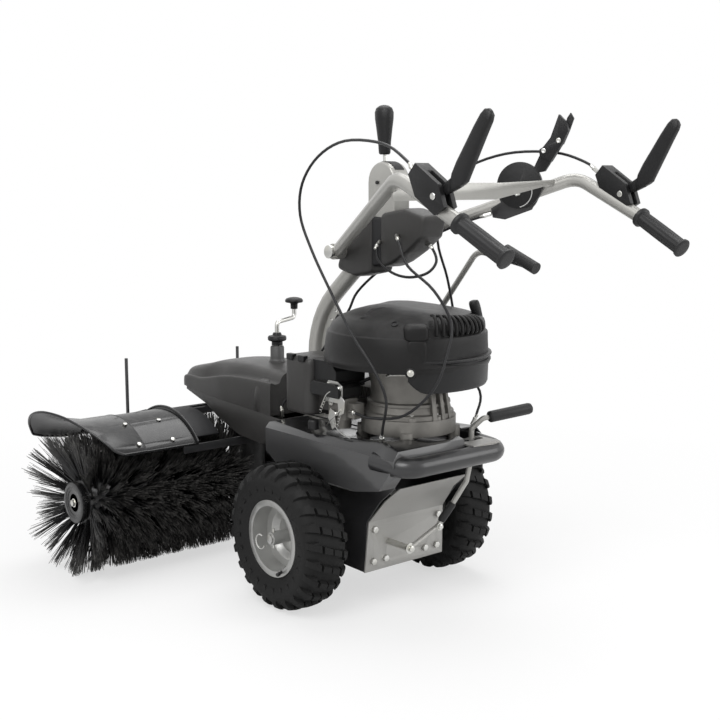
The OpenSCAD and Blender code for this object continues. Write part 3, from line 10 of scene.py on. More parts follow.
import bmesh
import bpy
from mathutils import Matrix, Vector

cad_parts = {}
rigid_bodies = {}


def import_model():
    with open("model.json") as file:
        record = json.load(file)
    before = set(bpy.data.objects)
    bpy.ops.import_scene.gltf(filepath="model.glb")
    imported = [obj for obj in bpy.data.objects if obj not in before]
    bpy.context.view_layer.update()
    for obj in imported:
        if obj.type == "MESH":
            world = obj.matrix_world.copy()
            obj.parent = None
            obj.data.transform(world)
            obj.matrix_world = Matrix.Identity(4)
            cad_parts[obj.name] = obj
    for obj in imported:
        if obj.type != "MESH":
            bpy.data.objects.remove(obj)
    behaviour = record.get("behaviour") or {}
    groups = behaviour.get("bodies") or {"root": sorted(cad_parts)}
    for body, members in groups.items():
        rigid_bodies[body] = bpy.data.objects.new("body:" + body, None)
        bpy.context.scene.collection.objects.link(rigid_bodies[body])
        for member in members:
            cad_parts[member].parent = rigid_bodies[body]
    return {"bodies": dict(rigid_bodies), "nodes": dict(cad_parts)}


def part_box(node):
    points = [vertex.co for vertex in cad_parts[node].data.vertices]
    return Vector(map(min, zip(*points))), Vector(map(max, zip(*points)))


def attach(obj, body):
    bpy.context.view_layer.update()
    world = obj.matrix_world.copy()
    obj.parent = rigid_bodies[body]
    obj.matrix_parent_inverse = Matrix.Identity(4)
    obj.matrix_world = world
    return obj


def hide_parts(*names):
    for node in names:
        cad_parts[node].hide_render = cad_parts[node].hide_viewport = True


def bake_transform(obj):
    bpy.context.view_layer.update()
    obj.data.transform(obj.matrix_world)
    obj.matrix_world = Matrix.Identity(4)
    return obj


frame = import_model()

LOG = logging.getLogger("sweeper")
Point = tuple[float, float, float]
Pair = tuple[float, float]
Colour = tuple[float, float, float]


class Axis(Enum):
    """Main directions of the sweeper: X to its right, Y ahead, Z up."""

    X = Vector((1, 0, 0))
    Y = Vector((0, 1, 0))
    Z = Vector((0, 0, 1))


class Side(Enum):
    """Left and right seen by the operator."""

    LEFT = -1
    RIGHT = 1


class Wire:
    """A shader socket that takes part in sums.

    Args:
        graph: the material's node graph.
        socket: the output socket.
    """

    def __init__(self, graph: "Graph", socket: bpy.types.NodeSocket) -> None:
        """Keeps the graph and the socket."""
        self.graph = graph
        self.socket = socket

    def out(self, name: str) -> "Wire":
        """Another output of the same node, by name."""
        return Wire(self.graph, self.socket.node.outputs[name])

    def math(self, operation: str, first: "Wire | float", second: "Wire | float" = 0.0) -> "Wire":
        """One Math node on numbers or wires."""
        return self.graph.add("ShaderNodeMath", {"operation": operation}, {0: first, 1: second})

    def clamp(self) -> "Wire":
        """The value held between 0 and 1."""
        return self.graph.add("ShaderNodeClamp", {}, {"Value": self})

    def __add__(self, other: "Wire | float") -> "Wire":
        """Sum."""
        return self.math("ADD", self, other)

    def __radd__(self, other: float) -> "Wire":
        """Sum with a number first."""
        return self.math("ADD", other, self)

    def __sub__(self, other: "Wire | float") -> "Wire":
        """Difference."""
        return self.math("SUBTRACT", self, other)

    def __rsub__(self, other: float) -> "Wire":
        """Difference with a number first."""
        return self.math("SUBTRACT", other, self)

    def __mul__(self, other: "Wire | float") -> "Wire":
        """Product."""
        return self.math("MULTIPLY", self, other)

    def __rmul__(self, other: float) -> "Wire":
        """Product with a number first."""
        return self.math("MULTIPLY", other, self)


class Graph:
    """A node graph and its shader.

    Args:
        tree: the node tree of a material or of the world.
        shader: the name of its shader node.
    """

    def __init__(self, tree: bpy.types.NodeTree, shader: str = "Principled BSDF") -> None:
        """Keeps the tree and finds its shader."""
        self.tree = tree
        self.shader = tree.nodes[shader]

    def add(self, kind: str, settings: dict, sockets: dict) -> Wire:
        """Adds any node.

        Args:
            kind: the node's type.
            settings: its properties, set first.
            sockets: values or wires by input name or number.

        Returns:
            A wire from its first enabled output.
        """
        node = self.tree.nodes.new(kind)
        for name, value in settings.items():
            setattr(node, name, value)
        for name, value in sockets.items():
            self.put(node.inputs[name], value)
        return Wire(self, next(o for o in node.outputs if o.enabled))

    def put(self, socket: bpy.types.NodeSocket, value: object) -> None:
        """Links a wire to a socket or sets its value.

        Args:
            socket: the input to fill.
            value: a wire or a plain value.
        """
        if isinstance(value, Wire):
            self.tree.links.new(value.socket, socket)
        else:
            socket.default_value = value

    def set(self, name: str, value: object) -> None:
        """Sets or links one input of the surface shader."""
        self.put(self.shader.inputs[name], value)

    def place(self) -> Wire:
        """Object coordinates in metres."""
        return self.add("ShaderNodeTexCoord", {}, {}).out("Object")

    def stretch(self, scale: Point) -> Wire:
        """Object coordinates scaled along each axis."""
        return self.add("ShaderNodeVectorMath", {"operation": "MULTIPLY"}, {0: self.place(), 1: scale})

    def noise(self, scale: float, detail: float = 3.0, at: "Wire | None" = None) -> Wire:
        """Noise from 0 to 1, with the scale in waves per metre."""
        where = self.place() if at is None else at
        return self.add("ShaderNodeTexNoise", {}, {"Vector": where, "Scale": scale, "Detail": detail})

    def ramp(self, value: Wire, low: float, high: float) -> Wire:
        """The value spread from low..high to 0..1."""
        return self.add("ShaderNodeMapRange", {}, {"Value": value, "From Min": low, "From Max": high})

    def mix(self, factor: Wire, first: "Wire | Colour", second: "Wire | Colour") -> Wire:
        """Two colours mixed by a factor."""
        pair = [c if isinstance(c, Wire) else (*c, 1.0) for c in (first, second)]
        return self.add("ShaderNodeMix", {"data_type": "RGBA"}, {0: factor, 6: pair[0], 7: pair[1]})

    def bump(self, height: Wire, depth: float) -> None:
        """Gives the shader a bump of a depth in metres."""
        normal = self.add("ShaderNodeBump", {}, {"Strength": 1.0, "Distance": depth, "Height": height})
        self.set("Normal", normal)

    def shown(self) -> Wire:
        """1 where the camera looks, straight or through glass."""
        path = self.add("ShaderNodeLightPath", {}, {})
        return path.math("MAXIMUM", path.out("Is Camera Ray"), path.out("Is Transmission Ray"))

    def upward(self) -> Wire:
        """How far the surface faces up, from -1 to 1."""
        normal = self.add("ShaderNodeNewGeometry", {}, {}).out("Normal")
        return self.add("ShaderNodeSeparateXYZ", {}, {0: normal}).out("Z")


def blank_material(name: str) -> bpy.types.Material:
    """A new material with nodes.

    Args:
        name: its name.

    Returns:
        The material.
    """
    material = bpy.data.materials.new(name)
    material.use_nodes = True
    return material


@dataclass(frozen=True)
class Finish:
    """A surface finish. Subclasses add their own detail.

    Args:
        name: the material's name.
        slot: the record's material slot.
        colour: linear base colour.
        rough: middle roughness.
        metal: metallic share.
        coat: clear coat weight.
        shine: specular level.
    """

    name: str
    slot: str
    colour: Colour
    rough: float
    metal: float = 0.0
    coat: float = 0.0
    shine: float = 0.5

    def shade(self, share: float) -> Colour:
        """The base colour times a share."""
        return tuple(min(1.0, c * share) for c in self.colour)

    def material(self) -> bpy.types.Material:
        """The material, made once.

        Returns:
            The Blender material.
        """
        found = bpy.data.materials.get(self.name)
        if found:
            return found
        made = blank_material(self.name)
        graph = Graph(made.node_tree)
        graph.set("Metallic", self.metal)
        graph.set("Coat Weight", self.coat)
        graph.set("Coat Roughness", 0.12)
        graph.set("Specular IOR Level", self.shine)
        self.dress(graph)
        return made

    def dress(self, graph: Graph) -> None:
        """Adds the finish's own nodes."""
        graph.set("Base Color", (*self.colour, 1.0))
        graph.set("Roughness", self.rough)


@dataclass(frozen=True)
class Paint(Finish):
    """Sprayed paint with orange peel, fine flake and light dust.

    Args:
        flake: strength of the metal flake.
    """

    flake: float = 0.0

    def dress(self, graph: Graph) -> None:
        """Peel bump, flake and slow cloudiness.

        Args:
            graph: the material's graph.
        """
        cloud = graph.noise(7.0, 4.0)
        fleck = graph.noise(2600.0, 1.0)
        tone = graph.mix(graph.ramp(cloud, 0.35, 0.7), self.shade(0.93), self.shade(1.05))
        if self.flake:
            tone = graph.mix(graph.ramp(fleck, 0.52, 0.75) * self.flake, tone, self.shade(1.5))
        dust = graph.ramp(graph.upward(), 0.6, 1.0) * graph.ramp(graph.noise(60.0, 5.0), 0.45, 0.75) * 0.10
        graph.set("Base Color", graph.mix(dust, tone, (0.35, 0.34, 0.32)))
        graph.set("Roughness", self.rough - 0.04 + graph.noise(24.0, 4.0) * 0.08)
        graph.bump(graph.noise(420.0, 2.0), 0.00012)


@dataclass(frozen=True)
class Moulded(Finish):
    """Moulded plastic with a spark-eroded grain and slight dust on top.

    Args:
        shine: specular level.
        grain: pits of the grain per metre.
        depth: depth of the grain in metres.
    """

    shine: float = 0.3
    grain: float = 1500.0
    depth: float = 0.0002

    def dress(self, graph: Graph) -> None:
        """Grain bump, flow marks and dust.

        Args:
            graph: the material's graph.
        """
        flow = graph.noise(9.0, 3.0)
        tone = graph.mix(graph.ramp(flow, 0.35, 0.7), self.shade(0.88), self.shade(1.12))
        dust = graph.ramp(graph.upward(), 0.3, 1.0) * graph.ramp(graph.noise(45.0, 5.0), 0.4, 0.75) * 0.07
        graph.set("Base Color", graph.mix(dust, tone, (0.30, 0.29, 0.28)))
        graph.set("Roughness", self.rough - 0.06 + graph.noise(30.0, 4.0) * 0.12)
        pits = graph.add("ShaderNodeTexVoronoi", {}, {"Vector": graph.place(), "Scale": self.grain})
        graph.bump(pits, self.depth)


@dataclass(frozen=True)
class PaintedSheenFinish(Finish):
    """A cover with a gloss top and satin sides in another tone; that paler side tone, chosen by which way the surface
    faces, is a painted sheen.

    Args:
        side: linear colour of the sides, a painted sheen paler than the top.
        satin: roughness of the sides.
    """

    side: Colour = (0.05, 0.05, 0.05)
    satin: float = 0.42

    def dress(self, graph: Graph) -> None:
        """Chooses by how far the surface faces up; the paler colour of the sides is a painted sheen.

        Args:
            graph: the material's graph.
        """
        top = graph.ramp(graph.upward(), 0.45, 0.6).clamp()
        cloud = graph.noise(8.0, 4.0) * 0.06
        # painted sheen: faces that do not point up get the paler side colour
        graph.set("Base Color", graph.mix(top, self.side, self.colour))
        graph.set("Roughness", self.satin + cloud - top * (self.satin - self.rough))
        graph.bump(graph.noise(500.0, 2.0), 0.0001)


@dataclass(frozen=True)
class Rubber(Finish):
    """Moulded rubber with a bloom and fine pale scuffs.

    Args:
        shine: specular level.
    """

    shine: float = 0.3

    def dress(self, graph: Graph) -> None:
        """Bloom, scuffs and fine texture.

        Args:
            graph: the material's graph.
        """
        bloom = graph.ramp(graph.noise(14.0, 5.0), 0.4, 0.75)
        fine = graph.noise(900.0, 3.0)
        tone = graph.mix(bloom * 0.5, self.colour, self.shade(2.0))
        graph.set("Base Color", graph.mix(graph.ramp(fine, 0.6, 0.9) * 0.25, tone, (0.12, 0.115, 0.11)))
        graph.set("Roughness", self.rough - 0.08 + bloom * 0.14)
        graph.bump(fine, 0.0003)


@dataclass(frozen=True)
class Cast(Finish):
    """Sand-cast or die-cast alloy with a coarse skin and oily shade."""

    def dress(self, graph: Graph) -> None:
        """Skin bump and stains.

        Args:
            graph: the material's graph.
        """
        skin = graph.noise(700.0, 4.0)
        stain = graph.ramp(graph.noise(26.0, 6.0), 0.42, 0.68)
        graph.set("Base Color", graph.mix(stain * 0.55, self.colour, self.shade(0.55)))
        graph.set("Roughness", self.rough - 0.08 + skin * 0.18)
        graph.bump(skin, 0.0005)


@dataclass(frozen=True)
class Plated(Finish):
    """Zinc plate or bare steel with fine drawing lines and a tint.

    Args:
        lines: scale of the drawing lines along each axis.
    """

    lines: Point = (1500.0, 1500.0, 60.0)

    def dress(self, graph: Graph) -> None:
        """Drawing lines and passivation tint.

        Args:
            graph: the material's graph.
        """
        drawn = graph.noise(1.0, 3.0, graph.stretch(self.lines))
        tint = graph.ramp(graph.noise(35.0, 4.0), 0.4, 0.7)
        graph.set("Base Color", graph.mix(tint * 0.4, self.colour, (0.50, 0.48, 0.40)))
        graph.set("Roughness", self.rough - 0.07 + drawn * 0.16)
        graph.bump(drawn, 0.00006)


@dataclass(frozen=True)
class Bristle(Finish):
    """Black filament that greys and frays towards its tip, in pale streaks that are partly wear and partly painted
    glints.

    Args:
        axis: brush axis as (y, z) in metres in the row frame.
        reach: radius of the tips in metres.
    """

    axis: Pair = (0.0, 0.0)
    reach: float = 0.175

    def dress(self, graph: Graph) -> None:
        """Greys in streaks with the distance from the brush axis: partly wear, partly painted glints.

        Args:
            graph: the material's graph.
        """
        parts = graph.add("ShaderNodeSeparateXYZ", {}, {0: graph.place()})
        across = parts.out("Y") - self.axis[0]
        above = parts.out("Z") - self.axis[1]
        radius = across.math("SQRT", across * across + above * above)
        tip = graph.ramp(radius, self.reach * 0.55, self.reach).clamp()
        streak = graph.noise(1.0, 3.0, graph.stretch((260.0, 90.0, 90.0)))
        # pale streaks towards the tips: partly worn filament, partly painted glints
        worn_and_glint = tip * graph.ramp(streak, 0.35, 0.7)
        graph.set("Base Color", graph.mix(worn_and_glint * 0.75, self.colour, (0.17, 0.165, 0.155)))
        graph.set("Roughness", self.rough - 0.05 + worn_and_glint * 0.3)
        graph.bump(streak, 0.0002)


class Kit:
    """The finishes of this sweeper."""

    SILVER = Paint("silver_grey_paint", "silver_paint", (0.36, 0.355, 0.335), 0.36, 0.45, 0.15, flake=0.5)
    PLATE = Paint("satin_plate_paint", "silver_paint", (0.34, 0.335, 0.32), 0.40, 0.40, 0.0, flake=0.4)
    RIM = Paint("rim_silver_paint", "silver_paint", (0.35, 0.35, 0.34), 0.32, 0.6, 0.1, flake=0.5)
    SHEET = Paint("black_sheet_paint", "black_paint", (0.0075, 0.0075, 0.008), 0.26, 0.0, 0.15, 0.4)
    TUBE = Paint("black_tube_paint", "black_paint", (0.016, 0.016, 0.017), 0.34, 0.0, 0.2)
    # the cover's paler side colour is a painted sheen
    COVER = PaintedSheenFinish("cover_gloss", "black_paint", (0.010, 0.010, 0.011), 0.16, 0.0, 0.5, side=(0.040, 0.040, 0.041))
    COWL = Moulded("cowl_plastic", "charcoal_plastic", (0.0075, 0.0072, 0.0072), 0.38, shine=0.22)
    NOSE = Moulded("nose_plastic", "charcoal_plastic", (0.034, 0.033, 0.032), 0.36)
    BLACK = Moulded("black_plastic_grain", "black_plastic", (0.0075, 0.0075, 0.008), 0.36)
    SOFT = Rubber("grip_rubber", "rubber", (0.014, 0.014, 0.0145), 0.52)
    FLAP = Rubber("flap_rubber", "rubber", (0.010, 0.010, 0.011), 0.62)
    TYRE = Rubber("tyre_rubber", "tyre", (0.0065, 0.0065, 0.0065), 0.68, shine=0.22)
    CABLE = Moulded("cable_sheath", "black_plastic", (0.010, 0.010, 0.011), 0.38, grain=2600.0, depth=0.00008)
    ZINC = Plated("zinc_plate", "zinc", (0.62, 0.62, 0.60), 0.30, 1.0)
    STEEL = Plated("drawn_steel", "steel", (0.48, 0.48, 0.47), 0.34, 1.0)
    CAST = Cast("cast_alloy_skin", "cast_alloy", (0.185, 0.178, 0.164), 0.46, 0.6)
    BRONZE = Cast("worm_bronze", "bronze", (0.42, 0.27, 0.12), 0.42, 0.9)
    DARK = Cast("oily_dark_alloy", "steel", (0.09, 0.09, 0.09), 0.5, 0.5)
    WHITE = Moulded("mark_white", "black_plastic", (0.55, 0.55, 0.54), 0.5)


def axle_shift() -> float:
    """Distance in mm from the row frame's middle to the axle, along Y."""
    low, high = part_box("axle")
    return (low.y + high.y) * 500.0


SHIFT = axle_shift()


def metres(point: Sequence[float]) -> Vector:
    """A point in mm from the axle as a place in the row frame."""
    return Vector((point[0], point[1] + SHIFT, point[2])) / 1000.0


def circle(count: int) -> list[float]:
    """Angles spaced evenly round a circle."""
    return [2 * math.pi * k / count for k in range(count)]


def soft_square(turn: float, power: float) -> Pair:
    """A point on a square with round corners that reaches 1 to each side."""
    c, d = math.cos(turn), math.sin(turn)
    return math.copysign(abs(c) ** power, c), math.copysign(abs(d) ** power, d)


def cross_ways(along: Vector) -> tuple[Vector, Vector]:
    """Two directions square to a given one and to each other."""
    side = along.orthogonal().normalized()
    return side, along.cross(side)


def rounded(points: Sequence[Sequence[float]], radius: float, steps: int = 6) -> list[Vector]:
    """A path whose inner corners are turned into arcs.

    Args:
        points: the corners.
        radius: bend radius.
        steps: points on each bend.

    Returns:
        The path's points.
    """
    path = [Vector(points[0])]
    for before, at, after in zip(points, points[1:], points[2:]):
        corner = Vector(at)
        back = (Vector(before) - corner).normalized()
        ahead = (Vector(after) - corner).normalized()
        half = max(back.angle(ahead, math.pi) / 2, 0.05)
        cut = min(radius / math.tan(half), (Vector(before) - corner).length * 0.49,
                  (Vector(after) - corner).length * 0.49)
        first, last = corner + back * cut, corner + ahead * cut
        for k in range(steps + 1):
            t = k / steps
            path.append(first * (1 - t) ** 2 + corner * (2 * t * (1 - t)) + last * t * t)
    path.append(Vector(points[-1]))
    return path


def flowing(points: Sequence[Sequence[float]], steps: int = 6) -> list[Vector]:
    """A Catmull-Rom curve through points, with steps points for each stretch.

    Args:
        points: places on the curve.
        steps: points for each stretch.

    Returns:
        The curve's points.
    """
    ends = [Vector(p) for p in points]
    ends = [ends[0] * 2 - ends[1], *ends, ends[-1] * 2 - ends[-2]]
    path = []
    for a, b, c, d in zip(ends, ends[1:], ends[2:], ends[3:]):
        for k in range(steps):
            t = k / steps
            path.append(0.5 * (2 * b + (c - a) * t + (2 * a - 5 * b + 4 * c - d) * t * t
                               + (3 * b - a - 3 * c + d) * t ** 3))
    path.append(ends[-2])
    return path


@dataclass
class Form:
    """A closed mesh being built, in mm from the axle.

    Args:
        points: vertices.
        faces: corners of each face.
    """

    points: list[Vector] = field(default_factory=list)
    faces: list[tuple[int, ...]] = field(default_factory=list)

    def ring(self, points: Iterable[Sequence[float]]) -> list[int]:
        """Adds vertices and gives their numbers.

        Args:
            points: places of the vertices.

        Returns:
            Their numbers.
        """
        first = len(self.points)
        self.points.extend(Vector(p) for p in points)
        return list(range(first, len(self.points)))

    def bridge(self, one: list[int], two: list[int]) -> None:
        """Joins two closed rings of equal length with quads.

        Args:
            one: the first ring.
            two: the second ring.
        """
        for k in range(len(one)):
            n = (k + 1) % len(one)
            self.faces.append((one[k], one[n], two[n], two[k]))

    def loft(self, sections: Sequence[Sequence[Sequence[float]]], loop: bool = False) -> "Form":
        """Skins closed sections and caps the ends, or joins them in a loop.

        Args:
            sections: the sections in order.
            loop: whether the last joins the first.

        Returns:
            This form.
        """
        rings = [self.ring(s) for s in sections]
        for one, two in zip(rings, rings[1:]):
            self.bridge(one, two)
        if loop:
            self.bridge(rings[-1], rings[0])
        else:
            self.faces.append(tuple(reversed(rings[0])))
            self.faces.append(tuple(rings[-1]))
        return self

    def tube(self, path: Sequence[Sequence[float]], radius: "float | Sequence[float]", sides: int = 16,
             flat: float = 1.0) -> "Form":
        """Sweeps a circle along a path.

        Args:
            path: the centre line.
            radius: one radius, or one for each point.
            sides: corners of the section.
            flat: height of the section as a share of its width.

        Returns:
            This form.
        """
        line = [Vector(p) for p in path]
        radii = [radius] * len(line) if isinstance(radius, (int, float)) else list(radius)
        tangents = [(line[min(k + 1, len(line) - 1)] - line[max(k - 1, 0)]).normalized()
                    for k in range(len(line))]
        side = tangents[0].orthogonal().normalized()
        sections = []
        for at, along, r in zip(line, tangents, radii):
            side = (side - along * side.dot(along)).normalized()
            up = along.cross(side)
            sections.append([at + (side * math.cos(a) + up * math.sin(a) * flat) * r for a in circle(sides)])
        return self.loft(sections)

    def turn(self, profile: Sequence[Pair], base: Sequence[float], axis: Vector, sides: int = 32) -> "Form":
        """Turns a profile of (along, radius) pairs about an axis through base.

        Args:
            profile: pairs of place along the axis and radius.
            base: a point on the axis.
            axis: its direction.
            sides: corners round the axis.

        Returns:
            This form.
        """
        along = axis.normalized()
        side, up = cross_ways(along)
        origin = Vector(base)
        sections = [[origin + along * s + (side * math.cos(a) + up * math.sin(a)) * max(r, 0.01)
                     for a in circle(sides)] for s, r in profile]
        return self.loft(sections)

    def slab(self, outline: Sequence[Pair], low: float, high: float) -> "Form":
        """Extrudes an outline in (y, z) along X, from low to high."""
        return self.loft([[(x, *pair) for pair in outline] for x in (low, high)])

    def mirrored(self) -> "Form":
        """Adds the same form on the other side of the middle plane.

        Returns:
            This form.
        """
        first = len(self.points)
        self.points.extend([Vector((-p.x, p.y, p.z)) for p in self.points])
        self.faces.extend([tuple(first + k for k in reversed(f)) for f in self.faces])
        return self


class Bench:
    """Makes the pieces and dresses the nodes.

    Args:
        STEPS: facets of a rounded edge.
        SHARP: edges that turn by more than this are rounded, in degrees.
        WELD: corners nearer than this are joined, in metres.
    """

    STEPS = 2
    SHARP = 30.0
    WELD = 0.00002

    @staticmethod
    def mesh(name: str, form: Form) -> bpy.types.Object:
        """A mesh object of a form, with its normals outwards.

        Args:
            name: the object's name.
            form: its mesh.

        Returns:
            The object.
        """
        mesh = bpy.data.meshes.new(name)
        mesh.from_pydata([metres(p) for p in form.points], [], form.faces)
        work = bmesh.new()
        work.from_mesh(mesh)
        bmesh.ops.recalc_face_normals(work, faces=work.faces)
        work.to_mesh(mesh)
        work.free()
        thing = bpy.data.objects.new(name, mesh)
        bpy.context.scene.collection.objects.link(thing)
        return thing

    @staticmethod
    def smooth(thing: bpy.types.Object, angle: float) -> None:
        """Smooth shading with edges sharper than angle kept."""
        thing.data.polygons.foreach_set("use_smooth", [True] * len(thing.data.polygons))
        thing.data.set_sharp_from_angle(angle=math.radians(angle))

    @classmethod
    def bevel(cls, thing: bpy.types.Object, width: float) -> None:
        """Rounds the sharp edges by a width in mm.

        Args:
            thing: the object.
            width: width of the rounding in mm.
        """
        rounder = thing.modifiers.new("edge_round", "BEVEL")
        rounder.width = width / 1000.0
        rounder.segments = cls.STEPS
        rounder.limit_method = "ANGLE"
        rounder.angle_limit = math.radians(cls.SHARP)
        rounder.harden_normals = False

    @classmethod
    def piece(cls, name: str, form: Form, finish: Finish, body: str, *nodes: str, bevel: float = 0.0,
              angle: float = 40.0) -> None:
        """Makes one piece of the sweeper.

        Args:
            name: the object's name.
            form: its mesh.
            finish: its finish.
            body: the body that carries it.
            nodes: the CAD nodes it stands for.
            bevel: edge rounding in mm.
            angle: edges sharper than this stay sharp, in degrees.
        """
        thing = cls.mesh(name, form)
        cls.smooth(thing, angle)
        if bevel:
            cls.bevel(thing, bevel)
        thing.data.materials.append(finish.material())
        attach(thing, body)
        if nodes:
            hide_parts(*nodes)
        LOG.info("made %s on %s", name, body)

    @classmethod
    def dress(cls, node: str, finish: Finish, bevel: float = 0.0, angle: float = 32.0,
              second: "tuple[Callable[[Vector], bool], Finish] | None" = None) -> None:
        """Gives a CAD node its finish and edge rounding.

        Args:
            node: the node's name.
            finish: the main finish.
            bevel: edge rounding in mm.
            angle: edges sharper than this stay sharp, in degrees.
            second: a test on a face's middle in mm from the axle, and the finish of those faces.
        """
        thing = frame["nodes"][node]
        mesh = thing.data
        mesh.materials.clear()
        mesh.materials.append(finish.material())
        index = [0] * len(mesh.polygons)
        if second:
            mesh.materials.append(second[1].material())
            for face in mesh.polygons:
                at = face.center * 1000.0
                index[face.index] = int(second[0](Vector((at.x, at.y - SHIFT, at.z))))
        mesh.polygons.foreach_set("material_index", index)
        mesh.polygons.foreach_set("use_smooth", [True] * len(mesh.polygons))
        welder = thing.modifiers.new("join", "WELD")
        welder.merge_threshold = cls.WELD
        if bevel:
            flatten = thing.modifiers.new("flat_faces", "DECIMATE")
            flatten.decimate_type = "DISSOLVE"
            flatten.angle_limit = math.radians(1.0)
            flatten.delimit = {"MATERIAL"}
            cls.bevel(thing, bevel)
        split = thing.modifiers.new("sharp_edges", "EDGE_SPLIT")
        split.split_angle = math.radians(angle)
        LOG.info("dressed %s with %s", node, finish.name)


def bolt_head(form: Form, at: Sequence[float], axis: Vector, across: float, height: float = 5.0) -> None:
    """Adds a flanged hexagon head standing on a point.

    Args:
        form: the form that gets it.
        at: the point it stands on.
        axis: its direction, outwards.
        across: width over the flats.
        height: height of the head.
    """
    form.turn([(0, across * 0.72), (1.2, across * 0.72), (1.6, across * 0.6)], at, axis, 20)
    along = axis.normalized()
    form.turn([(1.0, across * 0.56), (height - 0.8, across * 0.56), (height, across * 0.46)],
              Vector(at) + along * 0.2, axis, 6)


@dataclass
class Studio:
    """Camera, light and floor.

    Args:
        eye: camera place in mm from the axle.
        turn: azimuth in degrees.
        down: pitch below the horizon in degrees.
        lens: focal length in mm.
        sensor: sensor width in mm.
        ambient: the world's strength as light.
        grey: the floor's colour.
        white: the floor's share of plain white near the sweeper.
        clear: where that share starts to grow and where it is whole, in metres.
        reach: half the floor's width in metres.
    """

    eye: Point = (-1723.8, -2029.9, 947.6)
    turn: float = -40.10
    down: float = 8.758
    lens: float = 58.44
    sensor: float = 36.0
    ambient: float = 0.55
    grey: float = 0.80
    white: float = 0.62
    clear: Pair = (0.7, 2.0)
    reach: float = 30.0

    def camera(self) -> None:
        """Sets the camera as in the photograph."""
        data = bpy.data.cameras.new("camera")
        data.lens = self.lens
        data.sensor_width = self.sensor
        thing = bpy.data.objects.new("camera", data)
        thing.location = metres(self.eye)
        thing.rotation_euler = (math.radians(90 - self.down), 0, math.radians(self.turn))
        bpy.context.scene.collection.objects.link(thing)
        bpy.context.scene.camera = thing

    def lamp(self, name: str, at: Point, aim: Point, size: float, power: float) -> None:
        """One soft area lamp, in metres.

        Args:
            name: the lamp's name.
            at: its place.
            aim: the point that it faces.
            size: its diameter.
            power: its power in watts.
        """
        data = bpy.data.lights.new(name, "AREA")
        data.shape = "DISK"
        data.size = size
        data.energy = power
        thing = bpy.data.objects.new(name, data)
        thing.location = at
        thing.rotation_euler = (Vector(at) - Vector(aim)).to_track_quat("Z", "Y").to_euler()
        bpy.context.scene.collection.objects.link(thing)

    def world(self) -> None:
        """White to the camera and in reflections, softer as light."""
        world = bpy.data.worlds.new("studio")
        bpy.context.scene.world = world
        world.use_nodes = True
        graph = Graph(world.node_tree, "Background")
        mirrored = graph.add("ShaderNodeLightPath", {}, {}).out("Is Glossy Ray")
        seen = mirrored.math("MAXIMUM", graph.shown(), mirrored)
        graph.set("Color", (1, 1, 1, 1))
        graph.set("Strength", graph.add("ShaderNodeMapRange", {}, {
            "Value": seen, "To Min": self.ambient, "To Max": 1.0}))

    def floor(self) -> None:
        """A pale floor that keeps the shadow."""
        material = blank_material("studio_floor")
        graph = Graph(material.node_tree)
        graph.set("Base Color", (self.grey, self.grey, self.grey, 1.0))
        graph.set("Roughness", 0.9)
        glow = graph.add("ShaderNodeEmission", {}, {"Color": (1, 1, 1, 1), "Strength": 1.0})
        away = graph.add("ShaderNodeVectorMath", {"operation": "LENGTH"}, {0: graph.place()})
        share = graph.shown() * (self.white + graph.ramp(away, *self.clear) * (1.0 - self.white))
        both = graph.add("ShaderNodeMixShader", {}, {0: share, 1: Wire(graph, graph.shader.outputs[0]), 2: glow})
        graph.put(graph.tree.nodes["Material Output"].inputs["Surface"], both)
        mesh = bpy.data.meshes.new("floor")
        r = self.reach
        mesh.from_pydata([(-r, -r, 0), (r, -r, 0), (r, r, 0), (-r, r, 0)], [], [(0, 1, 2, 3)])
        mesh.materials.append(material)
        thing = bpy.data.objects.new("floor", mesh)
        bpy.context.scene.collection.objects.link(thing)

    def build(self) -> None:
        """Makes the whole studio."""
        bpy.context.scene.view_settings.view_transform = "Standard"
        self.camera()
        self.world()
        self.floor()
        self.lamp("key_soft", (-2.6, -1.4, 3.4), (0.0, 0.0, 0.4), 2.6, 95.0)
        self.lamp("top_soft", (0.8, 0.8, 4.0), (0.0, 0.0, 0.4), 3.0, 70.0)
        self.lamp("fill_soft", (2.4, -2.8, 1.8), (0.0, -0.1, 0.5), 2.4, 40.0)


